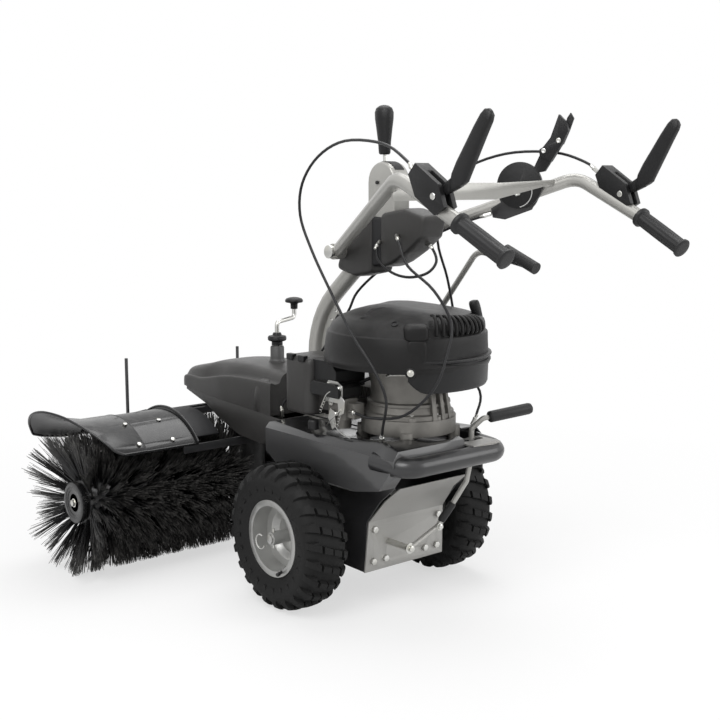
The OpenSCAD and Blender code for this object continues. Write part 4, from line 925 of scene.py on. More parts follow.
@dataclass
class Cables:
    """The control cables, with their ferrules.

    Args:
        width: sheath diameter in mm.
        routes: points of each route in mm from the axle, and the body at its first end.
    """

    width: float = 6.0
    routes: dict[str, tuple[str, list[Point]]] = field(default_factory=lambda: {
        "left_clutch": ("handlebar", [
            (-264, -449, 962), (-256, -418, 984), (-236, -330, 1016), (-210, -185, 1025), (-196, -80, 996),
            (-188, -14, 940), (-182, 2, 872), (-181, -36, 799), (-190, -110, 718), (-200, -196, 632),
            (-204, -268, 570), (-190, -290, 509), (-158, -244, 440), (-136, -214, 402.6)]),
        "right_clutch": ("handlebar", [
            (264, -449, 962), (254, -420, 985), (232, -352, 1006), (190, -250, 1004), (150, -160, 968),
            (132, -110, 900), (140, -92, 810), (172, -92, 724), (186, -100, 640), (188, -112, 540),
            (184, -190, 470), (150, -214, 424), (136, -214, 402.6)]),
        "handle_lock": ("handlebar", [
            (160.4, -237.2, 873.8), (128, -165, 848), (86, -70, 800), (50, 0, 745), (20, 50, 690), (2, 66, 640),
            (-30, 110, 560), (-64, 150, 480), (-94, 190, 420), (-96, 192, 388)]),
        "throttle": ("chassis", [
            (-37.4, -150, 830), (-56, -180, 812), (-78, -230, 770), (-70, -300, 724), (-60, -342, 660),
            (-80, -352, 600), (-110, -346, 530), (-140, -290, 470), (-150, -200, 452), (-146, -150, 452),
            (-138.6, -116, 452)]),
        "console_loop": ("chassis", [
            (-36, -92, 814), (-50, -98, 800), (-55, -112, 775), (-50, -150, 750), (-36, -190, 742), (-14, -222, 752),
            (2, -232, 775), (6, -218, 800), (4, -196, 816)]),
    })

    def build(self) -> None:
        for name, (start, points) in self.routes.items():
            path = flowing(points, 5)
            thing = Bench.mesh(f"{name}_cable", Form().tube(path, self.width / 2, 10))
            Bench.smooth(thing, 60)
            thing.data.materials.append(Kit.CABLE.material())
            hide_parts("control_cables")
            if start == "chassis":
                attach(thing, "chassis")
            else:
                metres(points[2])
                metres(points[6])
                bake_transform(thing)
            self.declare(path)
            self.ferrules(name, start, path)
            LOG.info("made %s", thing.name)

    def declare(self, path: list[Vector]) -> None:
        """Turns the cable's middle line into metres, and keeps nothing.

        Args:
            path: its middle line in mm from the axle.
        """
        line = [metres(p) for p in path]
        self.width / 1000.0

    def ferrules(self, name: str, start: str, path: list[Vector]) -> None:
        """A crimped ferrule at each end.

        Args:
            name: the route's name.
            start: the body at its first end.
            path: its middle line in mm from the axle.
        """
        ends = ((path[0], path[2] - path[0], start, "first"), (path[-1], path[-3] - path[-1], "chassis", "last"))
        for at, way, body, which in ends:
            profile = [(-2, 3.6), (0, 4.4), (12, 4.4), (13, 5.0), (16, 5.0), (17, 4.0), (24, 3.7), (25, 3.2)]
            Bench.piece(f"{name}_{which}_ferrule", Form().turn(profile, at, way, 16), Kit.ZINC, body)


@dataclass
class Wheels:
    """Tyres with a cross-bar tread, and the rims' small parts.

    Args:
        radius: over the tread.
        track: half the distance between the tyres' middles.
        half: half of a tyre's width.
        bars: tread bars round the tyre.
        axle: height of the axle.
    """

    radius: float = 165.0
    track: float = 225.0
    half: float = 55.5
    bars: int = 24
    axle: float = 165.0

    def carcass(self, across: float) -> float:
        """Radius of the tread's ground at a place across the tyre."""
        share = min(abs(across) / self.half, 1.0)
        return self.radius - 9.5 - 6.0 * share ** 2 - 17.0 * share ** 6

    def spot(self, middle: float, across: float, turn: float, radius: float) -> Point:
        """A point on the wheel."""
        return (middle + across, math.cos(turn) * radius, self.axle + math.sin(turn) * radius)

    def tyre(self, form: Form, middle: float) -> None:
        """Carcass and tread of one tyre.

        Args:
            form: the form that gets it.
            middle: the tyre's middle along X.
        """
        profile = [(s * self.half, self.carcass(s * self.half)) for s in
                   (-1.0, -0.94, -0.84, -0.65, -0.4, 0.0, 0.4, 0.65, 0.84, 0.94, 1.0)]
        profile += [(56, 126), (55, 116), (51, 101), (48.5, 97), (48, 93), (44, 87.5), (41, 85), (36, 83)]
        profile += [(-s, r) for s, r in reversed(profile[11:])]
        form.loft([[self.spot(middle, s, a, r) for s, r in profile] for a in circle(96)], loop=True)
        pitch = 2 * math.pi / self.bars
        for k in range(self.bars):
            for sign in (-1, 1):
                self.bar(form, middle, k * pitch, sign, pitch)
                self.lug(form, middle, (k + 0.5) * pitch, sign)

    def bar(self, form: Form, middle: float, turn: float, sign: int, pitch: float) -> None:
        """One slanted bar from the middle of the tread to the shoulder, cut into two blocks.

        Args:
            form: the form that gets it.
            middle: the tyre's middle along X.
            turn: angle of the bar round the wheel.
            sign: side of the tread, -1 or 1.
            pitch: angle between two bars.
        """
        for first, last in ((0.03, 0.42), (0.53, 0.97)):
            sections = []
            for j in range(4):
                share = first + (last - first) * j / 3
                across = sign * self.half * share
                lean = turn + pitch * 0.5 * share * sign
                wide = math.radians(3.0 + 0.6 * share)
                ground, top = self.carcass(across) - 2.0, min(self.carcass(across) + 9.4, self.radius - 0.15)
                sections.append([self.spot(middle, across, lean - wide, ground),
                                 self.spot(middle, across, lean - wide * 0.78, top),
                                 self.spot(middle, across, lean + wide * 0.78, top),
                                 self.spot(middle, across, lean + wide, ground)])
            form.loft(sections)

    def lug(self, form: Form, middle: float, turn: float, sign: int) -> None:
        """One shoulder lug that runs down the sidewall.

        Args:
            form: the form that gets it.
            middle: the tyre's middle along X.
            turn: angle of the lug round the wheel.
            sign: side of the tread, -1 or 1.
        """
        wide = math.radians(2.7)
        rows = [(34.0, 0.0, 8.6), (43.0, 0.0, 8.8), (52.0, 0.0, 8.0), (55.9, -14.0, 1.2), (55.9, -24.0, 0.4)]
        sections = []
        for across, drop, proud in rows:
            ground = self.carcass(min(across, self.half)) + drop
            tuck, sunk = (6.0, 0.0) if drop else (0.0, 3.0)
            edge = [(across - tuck, ground - sunk, -wide), (across, ground + proud, -wide * 0.8),
                    (across, ground + proud, wide * 0.8), (across - tuck, ground - sunk, wide)]
            sections.append([self.spot(middle, sign * a, turn + t, r) for a, r, t in edge])
        form.loft(sections)

    def build(self) -> None:
        """Makes tyres, valves and pins, and dresses the rims."""
        form = Form()
        self.tyre(form, -self.track)
        self.tyre(form, self.track)
        Bench.piece("treaded_tyres", form, Kit.TYRE, "wheels", "tyres", angle=38.0)
        for node, finish, bevel in (("rims", Kit.RIM, 0.8), ("axle", Kit.STEEL, 0.6),
                                    ("axle_gear", Kit.STEEL, 0.0), ("wheel_pins", Kit.ZINC, 0.6)):
            Bench.dress(node, finish, bevel)
        valves, rings = Form(), Form()
        for side in Side:
            root = (side.value * (self.track + 26), -34.0, self.axle - 62.0)
            valves.turn([(0, 5.5), (4, 5.5), (8, 3.6), (26, 3.4), (27, 4.2), (34, 4.2), (35, 3.4)], root,
                        Vector((side.value, -0.15, -0.25)), 16)
            ring = [(side.value * 300.0, 16 * math.cos(a), self.axle + 16 * math.sin(a))
                    for a in (math.radians(200 + 20 * k) for k in range(15))]
            rings.tube(ring, 1.6, 8)
        Bench.piece("tyre_valves", valves, Kit.SOFT, "wheels")
        Bench.piece("linch_rings", rings, Kit.ZINC, "wheels")


@dataclass
class Brush:
    """The roller brush: tufts of filament on a core.

    Args:
        axis: (y, z) of the brush in mm from the axle.
        reach: radius of the tips.
        core: radius of the tuft roots.
        rows: tufts along each half.
        round_count: tufts round the core.
        strands: filaments in a tuft.
        limit: farthest tip from the middle.
        ground: lowest tip above the floor.
    """

    axis: Pair = (515.0, 175.0)
    reach: float = 174.0
    core: float = 46.0
    rows: int = 24
    round_count: int = 20
    strands: int = 30
    limit: float = 546.0
    ground: float = 1.0

    def strand(self, form: Form, root: Vector, tip: Vector, curl: Vector, width: float) -> None:
        """One thin three-sided filament with a bend.

        Args:
            form: the form that gets it.
            root: its start on the core.
            tip: its end before the bend.
            curl: the bend.
            width: its radius at the root.
        """
        along = (tip - root).normalized()
        side, up = cross_ways(along)
        rings = []
        for share, thick in ((0.0, 1.0), (0.55, 0.95), (1.0, 0.55)):
            at = root.lerp(tip, share) + curl * (4 * share * (1 - share) + share * share)
            rings.append(form.ring([at + (side * math.cos(a) + up * math.sin(a)) * width * thick
                                    for a in (0.0, 2.0944, 4.1888)]))
        form.bridge(rings[0], rings[1])
        form.bridge(rings[1], rings[2])
        form.faces.append(tuple(reversed(rings[0])))
        form.faces.append(tuple(rings[2]))

    def half(self, low: float, high: float, seed: int) -> Form:
        """All filaments of one half of the brush.

        Args:
            low: left end along X.
            high: right end along X.
            seed: start of the random draws.

        Returns:
            The filaments and their core.
        """
        dice = random.Random(seed)
        form = Form()
        middle = Vector((0, *self.axis))
        form.turn([(low, 44), (low + 3, 58), (high - 3, 58), (high, 44)], middle, Axis.X.value, 40)
        for row in range(self.rows):
            x = low + (high - low) * (row + 0.5) / self.rows
            outer = max(0.0, (abs(x) - 360.0) / 110.0)
            for k in range(self.round_count):
                turn = 2 * math.pi * (k + 0.5 * (row % 2) + dice.uniform(-0.12, 0.12)) / self.round_count
                tuft_x = x + dice.uniform(-3, 3)
                lean = math.copysign(outer ** 1.5 * 60.0, x) + dice.uniform(-10, 10) * (1 + outer)
                bend = dice.uniform(-0.05, 0.05)
                for _ in range(self.strands):
                    spread = dice.gauss(0, 0.055)
                    out = self.reach - abs(dice.gauss(0, 6.0))
                    a, b = turn + dice.uniform(-0.05, 0.05), turn + spread + bend
                    root = middle + Vector((tuft_x + dice.uniform(-4, 4), math.cos(a) * self.core,
                                            math.sin(a) * self.core))
                    far = tuft_x + lean + dice.gauss(0, 8.0)
                    far = max(-self.limit, min(self.limit, far))
                    far = min(far, high + 6.0) if x < 0 else max(far, low - 6.0)
                    tip = middle + Vector((far, math.cos(b) * out, math.sin(b) * out))
                    curl = Vector((dice.uniform(-3, 3), -math.sin(b), math.cos(b))) * dice.uniform(-2.2, 2.2)
                    if tip.z + curl.z < self.ground:
                        tip.z = self.ground - curl.z
                    self.strand(form, root, tip, curl, dice.uniform(0.75, 1.15))
        return form

    def build(self) -> None:
        """Makes the filaments and dresses core, caps and drive."""
        shift = SHIFT / 1000.0
        finish = Bristle("brush_filament", "black_plastic", (0.008, 0.008, 0.0085), 0.42,
                         axis=(self.axis[0] / 1000.0 + shift, self.axis[1] / 1000.0), reach=self.reach / 1000.0)
        for side, node in ((Side.LEFT, "bristles_left"), (Side.RIGHT, "bristles_right")):
            low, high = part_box(node)
            form = self.half(low.x * 1000.0 + 6.0, high.x * 1000.0 - 6.0, 11 + side.value)
            Bench.piece(f"{node}_filaments", form, finish, "brush", node, angle=80.0)
        for node, finish, bevel in (("brush_shaft", Kit.TUBE, 0.8), ("brush_caps", Kit.SHEET, 1.2),
                                    ("worm_wheel", Kit.BRONZE, 0.0), ("worm_shaft", Kit.STEEL, 0.0)):
            Bench.dress(node, finish, bevel)
        rings, bolts = Form(), Form()
        for side in Side:
            low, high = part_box("brush_caps")
            face = (high.x if side is Side.RIGHT else -low.x) * 1000.0 * side.value
            way = Vector((side.value, 0, 0))
            at = (face - side.value * 1.5, *self.axis)
            rings.turn([(0, 49), (2.0, 49), (3.2, 46), (3.2, 40), (1.6, 38.5), (0.4, 37), (0, 22)], at, way, 48)
            bolt_head(bolts, at, way, 15.0, 7.0)
        Bench.piece("brush_cap_rings", rings, Kit.TUBE, "brush")
        Bench.piece("brush_cap_bolts", bolts, Kit.ZINC, "brush")


@dataclass
class Guards:
    """Sheet guards over the brush, the outer ones flared like a bell, with rolled edges.

    Args:
        axis: (y, z) of the brush.
        radius: inside radius of the sheet.
        inner: inner end from the middle.
        seam: lap edge of the outer guard from the middle.
        end: outer end from the middle.
        lip: angle of the rear lip in degrees.
        front: angle of the front edge in degrees.
        flare: rise of the outer end.
        outline: plan of the outer edge from rear to front, from the outer end and the brush axis.
    """

    axis: Pair = (515.0, 175.0)
    radius: float = 195.0
    inner: float = 222.0
    seam: float = 364.0
    end: float = 543.0
    lip: float = 137.0
    front: float = 43.0
    flare: float = 33.0
    outline: tuple[Pair, ...] = ((118, -144), (100, -135), (88, -120), (70, -94), (55, -66), (30, -18), (10, 25),
                                 (2, 58), (0, 89), (4, 114), (13, 136), (26, 153), (31.5, 157.6))

    def around(self, radius: float, degrees: float, x: float) -> Vector:
        """A point round the brush axis."""
        turn = math.radians(degrees)
        return Vector((x, self.axis[0] + radius * math.cos(turn), self.axis[1] + radius * math.sin(turn)))

    def bell(self, x: float) -> float:
        """Radius of the outer sheet at a distance from the middle.

        Args:
            x: distance from the middle.

        Returns:
            The radius.
        """
        share = (x - self.seam) / (self.end - self.seam)
        rise = max(0.0, (share - 0.44) / 0.28 * 0.3) if share < 0.72 else 0.3 + (share - 0.72) / 0.3 * 0.7
        return self.radius + 3.2 + rise * self.flare

    def edge(self) -> list[Vector]:
        """The rounded outer edge of the left guard.

        Returns:
            Points from rear to front.
        """
        line = []
        for inset, ahead in self.outline:
            radius = self.bell(self.end - inset)
            line.append((inset - self.end, self.axis[0] + ahead, self.axis[1] + math.sqrt(radius ** 2 - ahead ** 2)))
        return flowing(line, 3)

    def rolls(self) -> Form:
        """Rolled edges of the left guards.

        Returns:
            The rolled edges.
        """
        form = Form()
        arc = [self.lip + (self.front - self.lip) * k / 24 for k in range(25)]
        for degrees, corner in ((self.lip, 425.0), (self.front, 511.0)):
            form.tube([self.around(self.radius + 1, degrees, -self.inner + 1),
                       self.around(self.radius + 1, degrees, -self.seam - 14)], 3.4, 12)
            form.tube([self.around(self.bell(x), degrees, -x) for x in
                       (self.seam + (corner - self.seam) * k / 8 for k in range(9))], 3.4, 12)
        form.tube([self.around(self.radius + 9, d, -self.inner - 1) for d in arc], 3.0, 10)
        form.tube(self.edge(), 3.4, 10)
        form.tube([self.around(self.radius + 3.2, d, -self.seam) for d in arc], 1.7, 8)
        return form

    def build(self) -> None:
        """Dresses the sheets and adds the rolled edges."""
        Bench.piece("guard_rolled_edges", self.rolls().mirrored(), Kit.SHEET, "brush_head", angle=60.0)
        for node in ("guard_left", "guard_right"):
            Bench.dress(node, Kit.SHEET, bevel=0.5, angle=24.0)
        Bench.dress("guard_flaps", Kit.FLAP, bevel=0.8, angle=24.0)
        for node, finish, bevel in (("front_rail", Kit.TUBE, 1.0), ("guard_screws", Kit.ZINC, 0.5),
                                    ("head_frame", Kit.TUBE, 1.2), ("gearbox_case", Kit.DARK, 3.0),
                                    ("swivel_ring", Kit.STEEL, 0.8)):
            Bench.dress(node, finish, bevel)


@dataclass
class Nose:
    """The smooth nose cover with its dished top edge, and the crank.

    Args:
        stations: for each place along Y: half-width, joint height, rim height, dish width and top height.
        crank: foot of the crank's axis.
        knob: place of the crank's upright end.
    """

    crank: Point = (0.0, 342.0, 0.0)
    knob: Pair = (64.6, 355.7)
    stations: list[tuple[float, float, float, float, float, float]] = field(default_factory=lambda: [
        (209, 119.5, 388.5, 468, 20, 491), (260, 119.5, 389.5, 468, 20, 492), (320, 119.5, 391.5, 467, 20, 493),
        (380, 119.5, 393.5, 464, 20, 493), (430, 119.5, 395.5, 458, 20, 491), (480, 115, 398, 449, 19, 487),
        (520, 111, 400, 442, 14, 481), (550, 108, 401.5, 438, 6, 473), (580, 104.5, 403, 438, 2, 466),
        (610, 101, 404.5, 437, 1, 460), (632, 97, 405.5, 433, 1, 455), (646, 88, 406, 427, 1, 449),
        (655, 72, 406.5, 418, 1, 440), (659, 58, 407, 411, 1, 424)])

    def section(self, wide: float, joint: float, rim: float, dish: float, top: float) -> list[Pair]:
        """Half of a cross-section, from the joint to the middle of the top.

        Args:
            wide: half-width.
            joint: height of the joint.
            rim: height of the rim.
            dish: width of the dish inside the rim.
            top: height of the top.

        Returns:
            Pairs of (x, z).
        """
        crown = max(top - rim, 4.0)
        inner = max(wide - dish - 6.0, 10.0)
        dip = min(dish * 0.28, 5.0)
        return [(wide, joint), (wide, joint + (rim - joint) * 0.45), (wide - 0.6, joint + (rim - joint) * 0.8),
                (wide - 1.6, rim - 3.0), (wide - 4.0, rim - 0.5), (wide - 6.5, rim - dip * 0.2),
                (wide - 6.5 - dish * 0.5, rim - dip), (inner - 2.0, rim - dip * 0.4),
                (inner - 7.0, rim + crown * 0.28), (inner - 13.0, rim + crown * 0.62),
                (inner - 24.0, rim + crown * 0.88), (inner - 42.0, rim + crown * 0.98), (inner * 0.25, top + 0.6)]

    def shell(self) -> Form:
        """The whole cover as a lofted shell.

        Returns:
            The cover.
        """
        rows = []
        for y, *sizes in flowing(self.stations, 4):
            half = [Vector((x, z, 0)) for x, z in self.section(*sizes)]
            bend = flowing(half[2:], 3)
            half = half[:2] + bend
            left = [(-p.x, y, p.y) for p in half]
            rows.append(left + [(p.x, y, p.y) for p in reversed(half)])
        return Form().loft(rows)

    def build(self) -> None:
        """Makes the cover and the crank's boss, and dresses the crank."""
        Bench.piece("nose_shell", self.shell(), Kit.NOSE, "chassis", "nose_cover", angle=38.0)
        Bench.dress("nose_tray", Kit.NOSE, bevel=2.0)
        boss = Form().turn([(470, 30), (492, 24), (497, 20), (500, 15), (501, 13)], self.crank, Axis.Z.value, 32)
        Bench.piece("crank_boss", boss, Kit.NOSE, "chassis")
        bulge = Form().turn([(392, 25), (396, 27.5), (432, 27.5), (452, 25), (464, 18), (470, 7)], (-95, 262, 0),
                            Axis.Z.value, 32)
        Bench.piece("nose_bulges", bulge.mirrored(), Kit.NOSE, "chassis")
        Bench.dress("crank_tube", Kit.SILVER, bevel=0.8)
        route = [(*self.crank[:2], 340), (*self.crank[:2], 594), (*self.knob, 600), (*self.knob, 632)]
        rod = Form().tube(rounded(route, 12, 6), 5.6, 16)
        Bench.piece("crank_rod", rod, Kit.ZINC, "crank", "crank", angle=60.0)
        collar = Form().turn([(535.4, 14), (545, 14), (547, 21), (549.5, 23.5), (556, 23.5), (559, 21.5), (561, 12),
                              (567, 10), (568, 6)], self.crank, Axis.Z.value, 40)
        Bench.piece("crank_collar", collar, Kit.BLACK, "crank", "crank")
        sleeve = Form().turn([(496, 20), (500, 18), (503, 17.4), (530, 17.4), (533, 16), (534, 13)], self.crank,
                             Axis.Z.value, 32)
        Bench.piece("crank_sleeve", sleeve, Kit.DARK, "chassis")
        knob = Form()
        low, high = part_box("crank_knob")
        middle = ((low.x + high.x) * 500.0, (low.y + high.y) * 500.0 - SHIFT, low.z * 1000.0)
        tall, wide = (high.z - low.z) * 1000.0, (high.x - low.x) * 500.0
        knob.turn([(0, 9), (tall * 0.42, 9.4), (tall * 0.5, 12), (tall * 0.55, wide * 0.92), (tall * 0.62, wide),
                   (tall * 0.76, wide * 0.99), (tall * 0.88, wide * 0.86), (tall * 0.96, wide * 0.55), (tall, 4)],
                  middle, Axis.Z.value, 36)
        Bench.piece("mushroom_knob", knob, Kit.BLACK, "crank_knob", "crank_knob", angle=60.0)
        Bench.dress("jockey_leg", Kit.TUBE, bevel=0.8)
        Bench.dress("jockey_wheel", Kit.TYRE, bevel=2.0)


@dataclass
class Chassis:
    """Plates, cover, bumper and column.

    Args:
        bend: (y, z) of the middle of the column's bend.
        edge: radius of the gusset's free edge.
    """

    bend: Pair = (-20.0, 530.0)
    edge: float = 154.0

    def edging(self) -> Form:
        """Rubber edging on the gusset under the column's bend.

        Returns:
            The edging.
        """
        line = [(0.0, self.bend[0] + self.edge * math.cos(a), self.bend[1] + self.edge * math.sin(a))
                for a in (math.radians(2 + 40 * k / 16) for k in range(17))]
        return Form().tube(line, 4.5, 12)

    def build(self) -> None:
        """Dresses the nodes of the chassis."""
        Bench.piece("gusset_edging", self.edging(), Kit.FLAP, "chassis", angle=60.0)
        Bench.dress("side_frames", Kit.TUBE, bevel=0.6, second=(lambda at: at.y > 40, Kit.PLATE))
        for node, finish, bevel in (("rear_plate", Kit.PLATE, 0.8), ("deck_plate", Kit.TUBE, 0.8),
                                    ("body_cover", Kit.COVER, 2.5)):
            Bench.dress(node, finish, bevel)
        Bench.dress("bumper", Kit.TUBE, second=(lambda at: 48 < at.x < 136 and at.z > 375.5, Kit.PLATE))
        for node, finish, bevel in (("column", Kit.SILVER, 0.0), ("transaxle", Kit.DARK, 2.0),
                                    ("brush_belt", Kit.FLAP, 0.0), ("chassis_bolts", Kit.ZINC, 0.5),
                                    ("handle_bolts", Kit.ZINC, 0.5)):
            Bench.dress(node, finish, bevel)


@dataclass
class Engine:
    """The vertical-shaft engine: cowl, tank, crankcase and carburettor.

    Args:
        middle: (x, y) of the crankshaft.
        pull: direction of the starter's pull, where the cap is lowest.
        pull_turn: the same as an angle in degrees.
        fall: slope of the cap.
        cap: (lowest, highest) level of the cap.
        widest: largest radius of the cowl.
    """

    middle: Pair = (0.0, -150.0)
    pull: Pair = (0.765, -0.644)
    pull_turn: float = 320.0
    fall: float = 0.10
    cap: Pair = (627.0, 680.0)
    widest: float = 186.4

    def cap_share(self, turn: float) -> float:
        """1 where the cap slopes in, at the left and front, and 0 at the vents."""
        facing = math.cos(turn - math.radians(160))
        return max(0.0, min(1.0, 0.5 + facing * 1.3))

    def cowl(self) -> Form:
        """The cowl as rings with a step and a sloped cap that falls to the rear right.

        Returns:
            The cowl.
        """
        rings = []
        levels = [(553, 183.0, 172.0), (560, 184.5, 175.0), (562, 186.0, 176.0), (566, 185.6, 175.6),
                  (568, 184.0, 172.0), (585, 182.5, 170.0), (605, 180.0, 169.0), (622, 177.0, 168.5),
                  (624, 176.0, 167.5), (625.5, 173.0, 164.5), (627, 172.0, 163.5), (640, 165.5, 163.5),
                  (654, 148.5, 162.5), (665, 122.0, 160.5), (672, 97.0, 155.0), (677, 72.0, 144.0),
                  (679.4, 42.0, 115.0), (680, 15.0, 60.0)]
        base, tall = self.cap[0], self.cap[1] - self.cap[0]
        for z, sloped, steep in levels:
            ring = []
            for turn in circle(96):
                r = steep + (sloped - steep) * self.cap_share(turn)
                r = min(r * (1.0 + 0.011 * (1 - math.cos(4 * turn))), self.widest)
                x, y = r * math.cos(turn), r * math.sin(turn)
                ahead = max(0.0, x * self.pull[0] + y * self.pull[1] + 50.0)
                ring.append((self.middle[0] + x, self.middle[1] + y,
                             z - self.fall * ahead * max(0.0, (z - base) / tall)))
            rings.append(ring)
        return Form().loft(rings)

    def ribs(self) -> Form:
        """Round vent ribs that run over the cap's rear edge.

        Returns:
            All ribs.
        """
        form = Form()
        for k in range(10):
            degrees = 247 + 5.4 * k
            fall = self.fall * max(0.0, 160 * math.cos(math.radians(degrees - self.pull_turn)) + 50.0)
            spots = ((165, 629), (169.5, 633), (169, 650 - fall * 0.4), (164, 671 - fall), (152, 679 - fall),
                     (138, 679 - fall))
            line = [self.out(degrees, radius, z) for radius, z in spots]
            form.tube(flowing(line, 4), 3.6, 10)
        return form

    def out(self, degrees: float, radius: float, z: float) -> Vector:
        """A point round the crankshaft."""
        turn = math.radians(degrees)
        return Vector((self.middle[0] + radius * math.cos(turn), self.middle[1] + radius * math.sin(turn), z))

    def way(self, degrees: float) -> Vector:
        """Direction away from the crankshaft."""
        return Vector((math.cos(math.radians(degrees)), math.sin(math.radians(degrees)), 0))

    def block(self, degrees: float, low: float, high: float, wide: float, depth: Pair) -> Form:
        """A block with rounded corners that stands out of the cowl.

        Args:
            degrees: its direction from the crankshaft.
            low: its bottom.
            high: its top.
            wide: its width.
            depth: its start and end from the crankshaft.

        Returns:
            The block.
        """
        way, base = self.way(degrees), self.out(degrees, 0.0, (low + high) / 2)
        across = Vector((-way.y, way.x, 0))
        sections = []
        for share, inset in ((0.0, 0.0), (0.55, 0.0), (0.75, 0.6), (0.88, 2.0), (0.96, 4.4), (1.0, 8.0)):
            half, tall = wide / 2 - inset, (high - low) / 2 - inset
            ring = []
            for a in circle(40):
                c, d = soft_square(a, 0.5)
                ring.append(base + way * (depth[0] + (depth[1] - depth[0]) * share) + across * half * c
                            + Vector((0, 0, tall * d)))
            sections.append(ring)
        return Form().loft(sections)

    def tank(self) -> Form:
        """The tank: an arc under the cowl's rear right with a rim at its top.

        Returns:
            The tank.
        """
        sections = []
        for k in range(45):
            degrees = 227 + 130 * k / 44
            r = 176.5 - 3.0 * max(0.0, math.cos(math.radians(degrees - self.pull_turn)))
            low = 508 + 26 * max(0.0, 1 - k / 5) ** 2
            rows = [(88, low + 2), (r - 10, low), (r - 3, low + 2), (r, low + 8), (r + 1.5, 570), (r + 7, 573),
                    (r + 8, 576), (r + 7, 578.5), (r + 1, 579.5), (88, 579.5)]
            sections.append([self.out(degrees, a, z) for a, z in rows])
        return Form().loft(sections)

    def air_cleaner(self) -> Form:
        """The air cleaner's box with large round edges, and its neck to the carburettor.

        Returns:
            Box and neck.
        """
        form, middle = Form(), Vector((-108.0, 50.0, 0.0))
        sections = []
        for z, inset in ((426, 6.0), (428, 2.0), (434, 0.0), (540, 0.0), (548, 1.5), (553, 5.0), (556, 11.0)):
            spots = [soft_square(a, 0.36) for a in circle(48)]
            sections.append([middle + Vector(((53.0 - inset) * c, (49.0 - inset) * d, z)) for c, d in spots])
        form.loft(sections)
        return form.slab([(-40.6, 442), (6, 440), (6, 474), (-40.6, 472)], -134, -110)

    def starter(self) -> Form:
        """The starter grip, which leans on the cap's edge, and its rope.

        Returns:
            Grip and rope.
        """
        def at(out: float, z: float) -> Vector:
            """A point on the line of the pull."""
            return Vector((self.middle[0] + self.pull[0] * out, self.middle[1] + self.pull[1] * out, z))
        line = flowing([at(155, 634), at(152, 648), at(146, 668), at(141, 684), at(140, 688)], 4)
        radii = [7.0, 7.6, 8.2, 9.0, 10.0, 10.6, 11.0, 11.4, 11.8, 12.0, 12.0, 11.6, 10.8, 9.6, 8.0, 5.6, 2.6]
        form = Form().tube(line, radii, 18)
        return form.tube([at(150, 640), at(-112, 640)], 2.2, 10)

    def cowl_details(self) -> None:
        """Screw cover, louvres and tank boss."""
        Bench.piece("cowl_screw_cover", self.block(232.5, 618, 654, 52, (140, 186)), Kit.COWL, "chassis", angle=60.0)
        Bench.piece("cowl_trough", self.block(232.5, 566, 626, 46, (150, 184)), Kit.COWL, "chassis", angle=60.0)
        slots = Form()
        for k in range(5):
            start = Vector((-140 + 11 * k, -150 + 4.4 * k, 660 + 3.0 * k))
            slots.tube([start, start + Vector((22, -20, 3.5)), start + Vector((33, -32, 3.0))], 2.4, 10, 0.6)
        Bench.piece("cowl_louvres", slots, Kit.BLACK, "chassis")
        dimple = Form().turn([(0, 8), (1.6, 7.4), (1.8, 5.6), (-1.5, 4.6), (-1.5, 0.5)],
                             Vector((-123, -239.5, 653)), self.way(216) + Vector((0, 0, 1.3)), 20)
        Bench.piece("cowl_screw_seat", dimple, Kit.BLACK, "chassis")
        boss, screw = Form(), Form()
        boss.turn([(-14, 12), (4, 12), (7, 10.5), (8, 8)], self.out(228.6, 180, 556), self.way(231), 24)
        bolt_head(screw, self.out(228.6, 187, 556), self.way(231), 10.0, 5.0)
        Bench.piece("tank_boss", boss, Kit.BLACK, "chassis")
        strap = Form().tube([self.out(227, 176, 554), self.out(221, 158, 551), self.out(212, 136, 546),
                             self.out(206, 122, 540)], 7.0, 12, 0.3)
        Bench.piece("tank_strap", strap, Kit.ZINC, "chassis", angle=60.0)
        Bench.piece("tank_screw", screw, Kit.ZINC, "chassis")

    def case_details(self) -> None:
        """Ribs, flange and bosses of the crankcase."""
        cast, heads = Form(), Form()
        cast.turn([(434, 70), (436, 101), (446, 100), (449, 95), (462, 91), (464, 93), (470, 92), (472, 86),
                   (500, 83), (530, 90), (546, 97), (552, 98), (553, 70)], (*self.middle, 0), Axis.Z.value, 72)
        for degrees in (262, 276, 290):
            cast.loft([[self.out(degrees - w, r, z) for r, w in ((70, 4.0), (r_out, 3.2), (r_out, -3.2), (70, -4.0))]
                       for z, r_out in ((430, 104), (452, 101), (500, 92), (512, 82))])
        for degrees in (196, 232, 268, 304):
            cast.turn([(0, 12), (9, 11), (11, 9)], self.out(degrees, 92, 434), Axis.Z.value, 20)
            bolt_head(heads, self.out(degrees, 92, 444), Axis.Z.value, 10.0, 6.0)
        Bench.piece("crankcase_ribs", cast, Kit.CAST, "chassis", bevel=0.8)
        Bench.piece("crankcase_bolts", heads, Kit.ZINC, "chassis")

    def spring(self, form: Form, start: Point, end: Point, radius: float, turns: int) -> None:
        """Adds a coil spring between two points.

        Args:
            form: the form that gets it.
            start: one end.
            end: the other end.
            radius: radius of the coil.
            turns: number of turns.
        """
        a, b = Vector(start), Vector(end)
        along = (b - a).normalized()
        side, up = cross_ways(along)
        step = 0.62832
        line = [a.lerp(b, k / (turns * 10)) + (side * math.cos(k * step) + up * math.sin(k * step)) * radius
                for k in range(turns * 10 + 1)]
        form.tube(line, 0.7, 6)

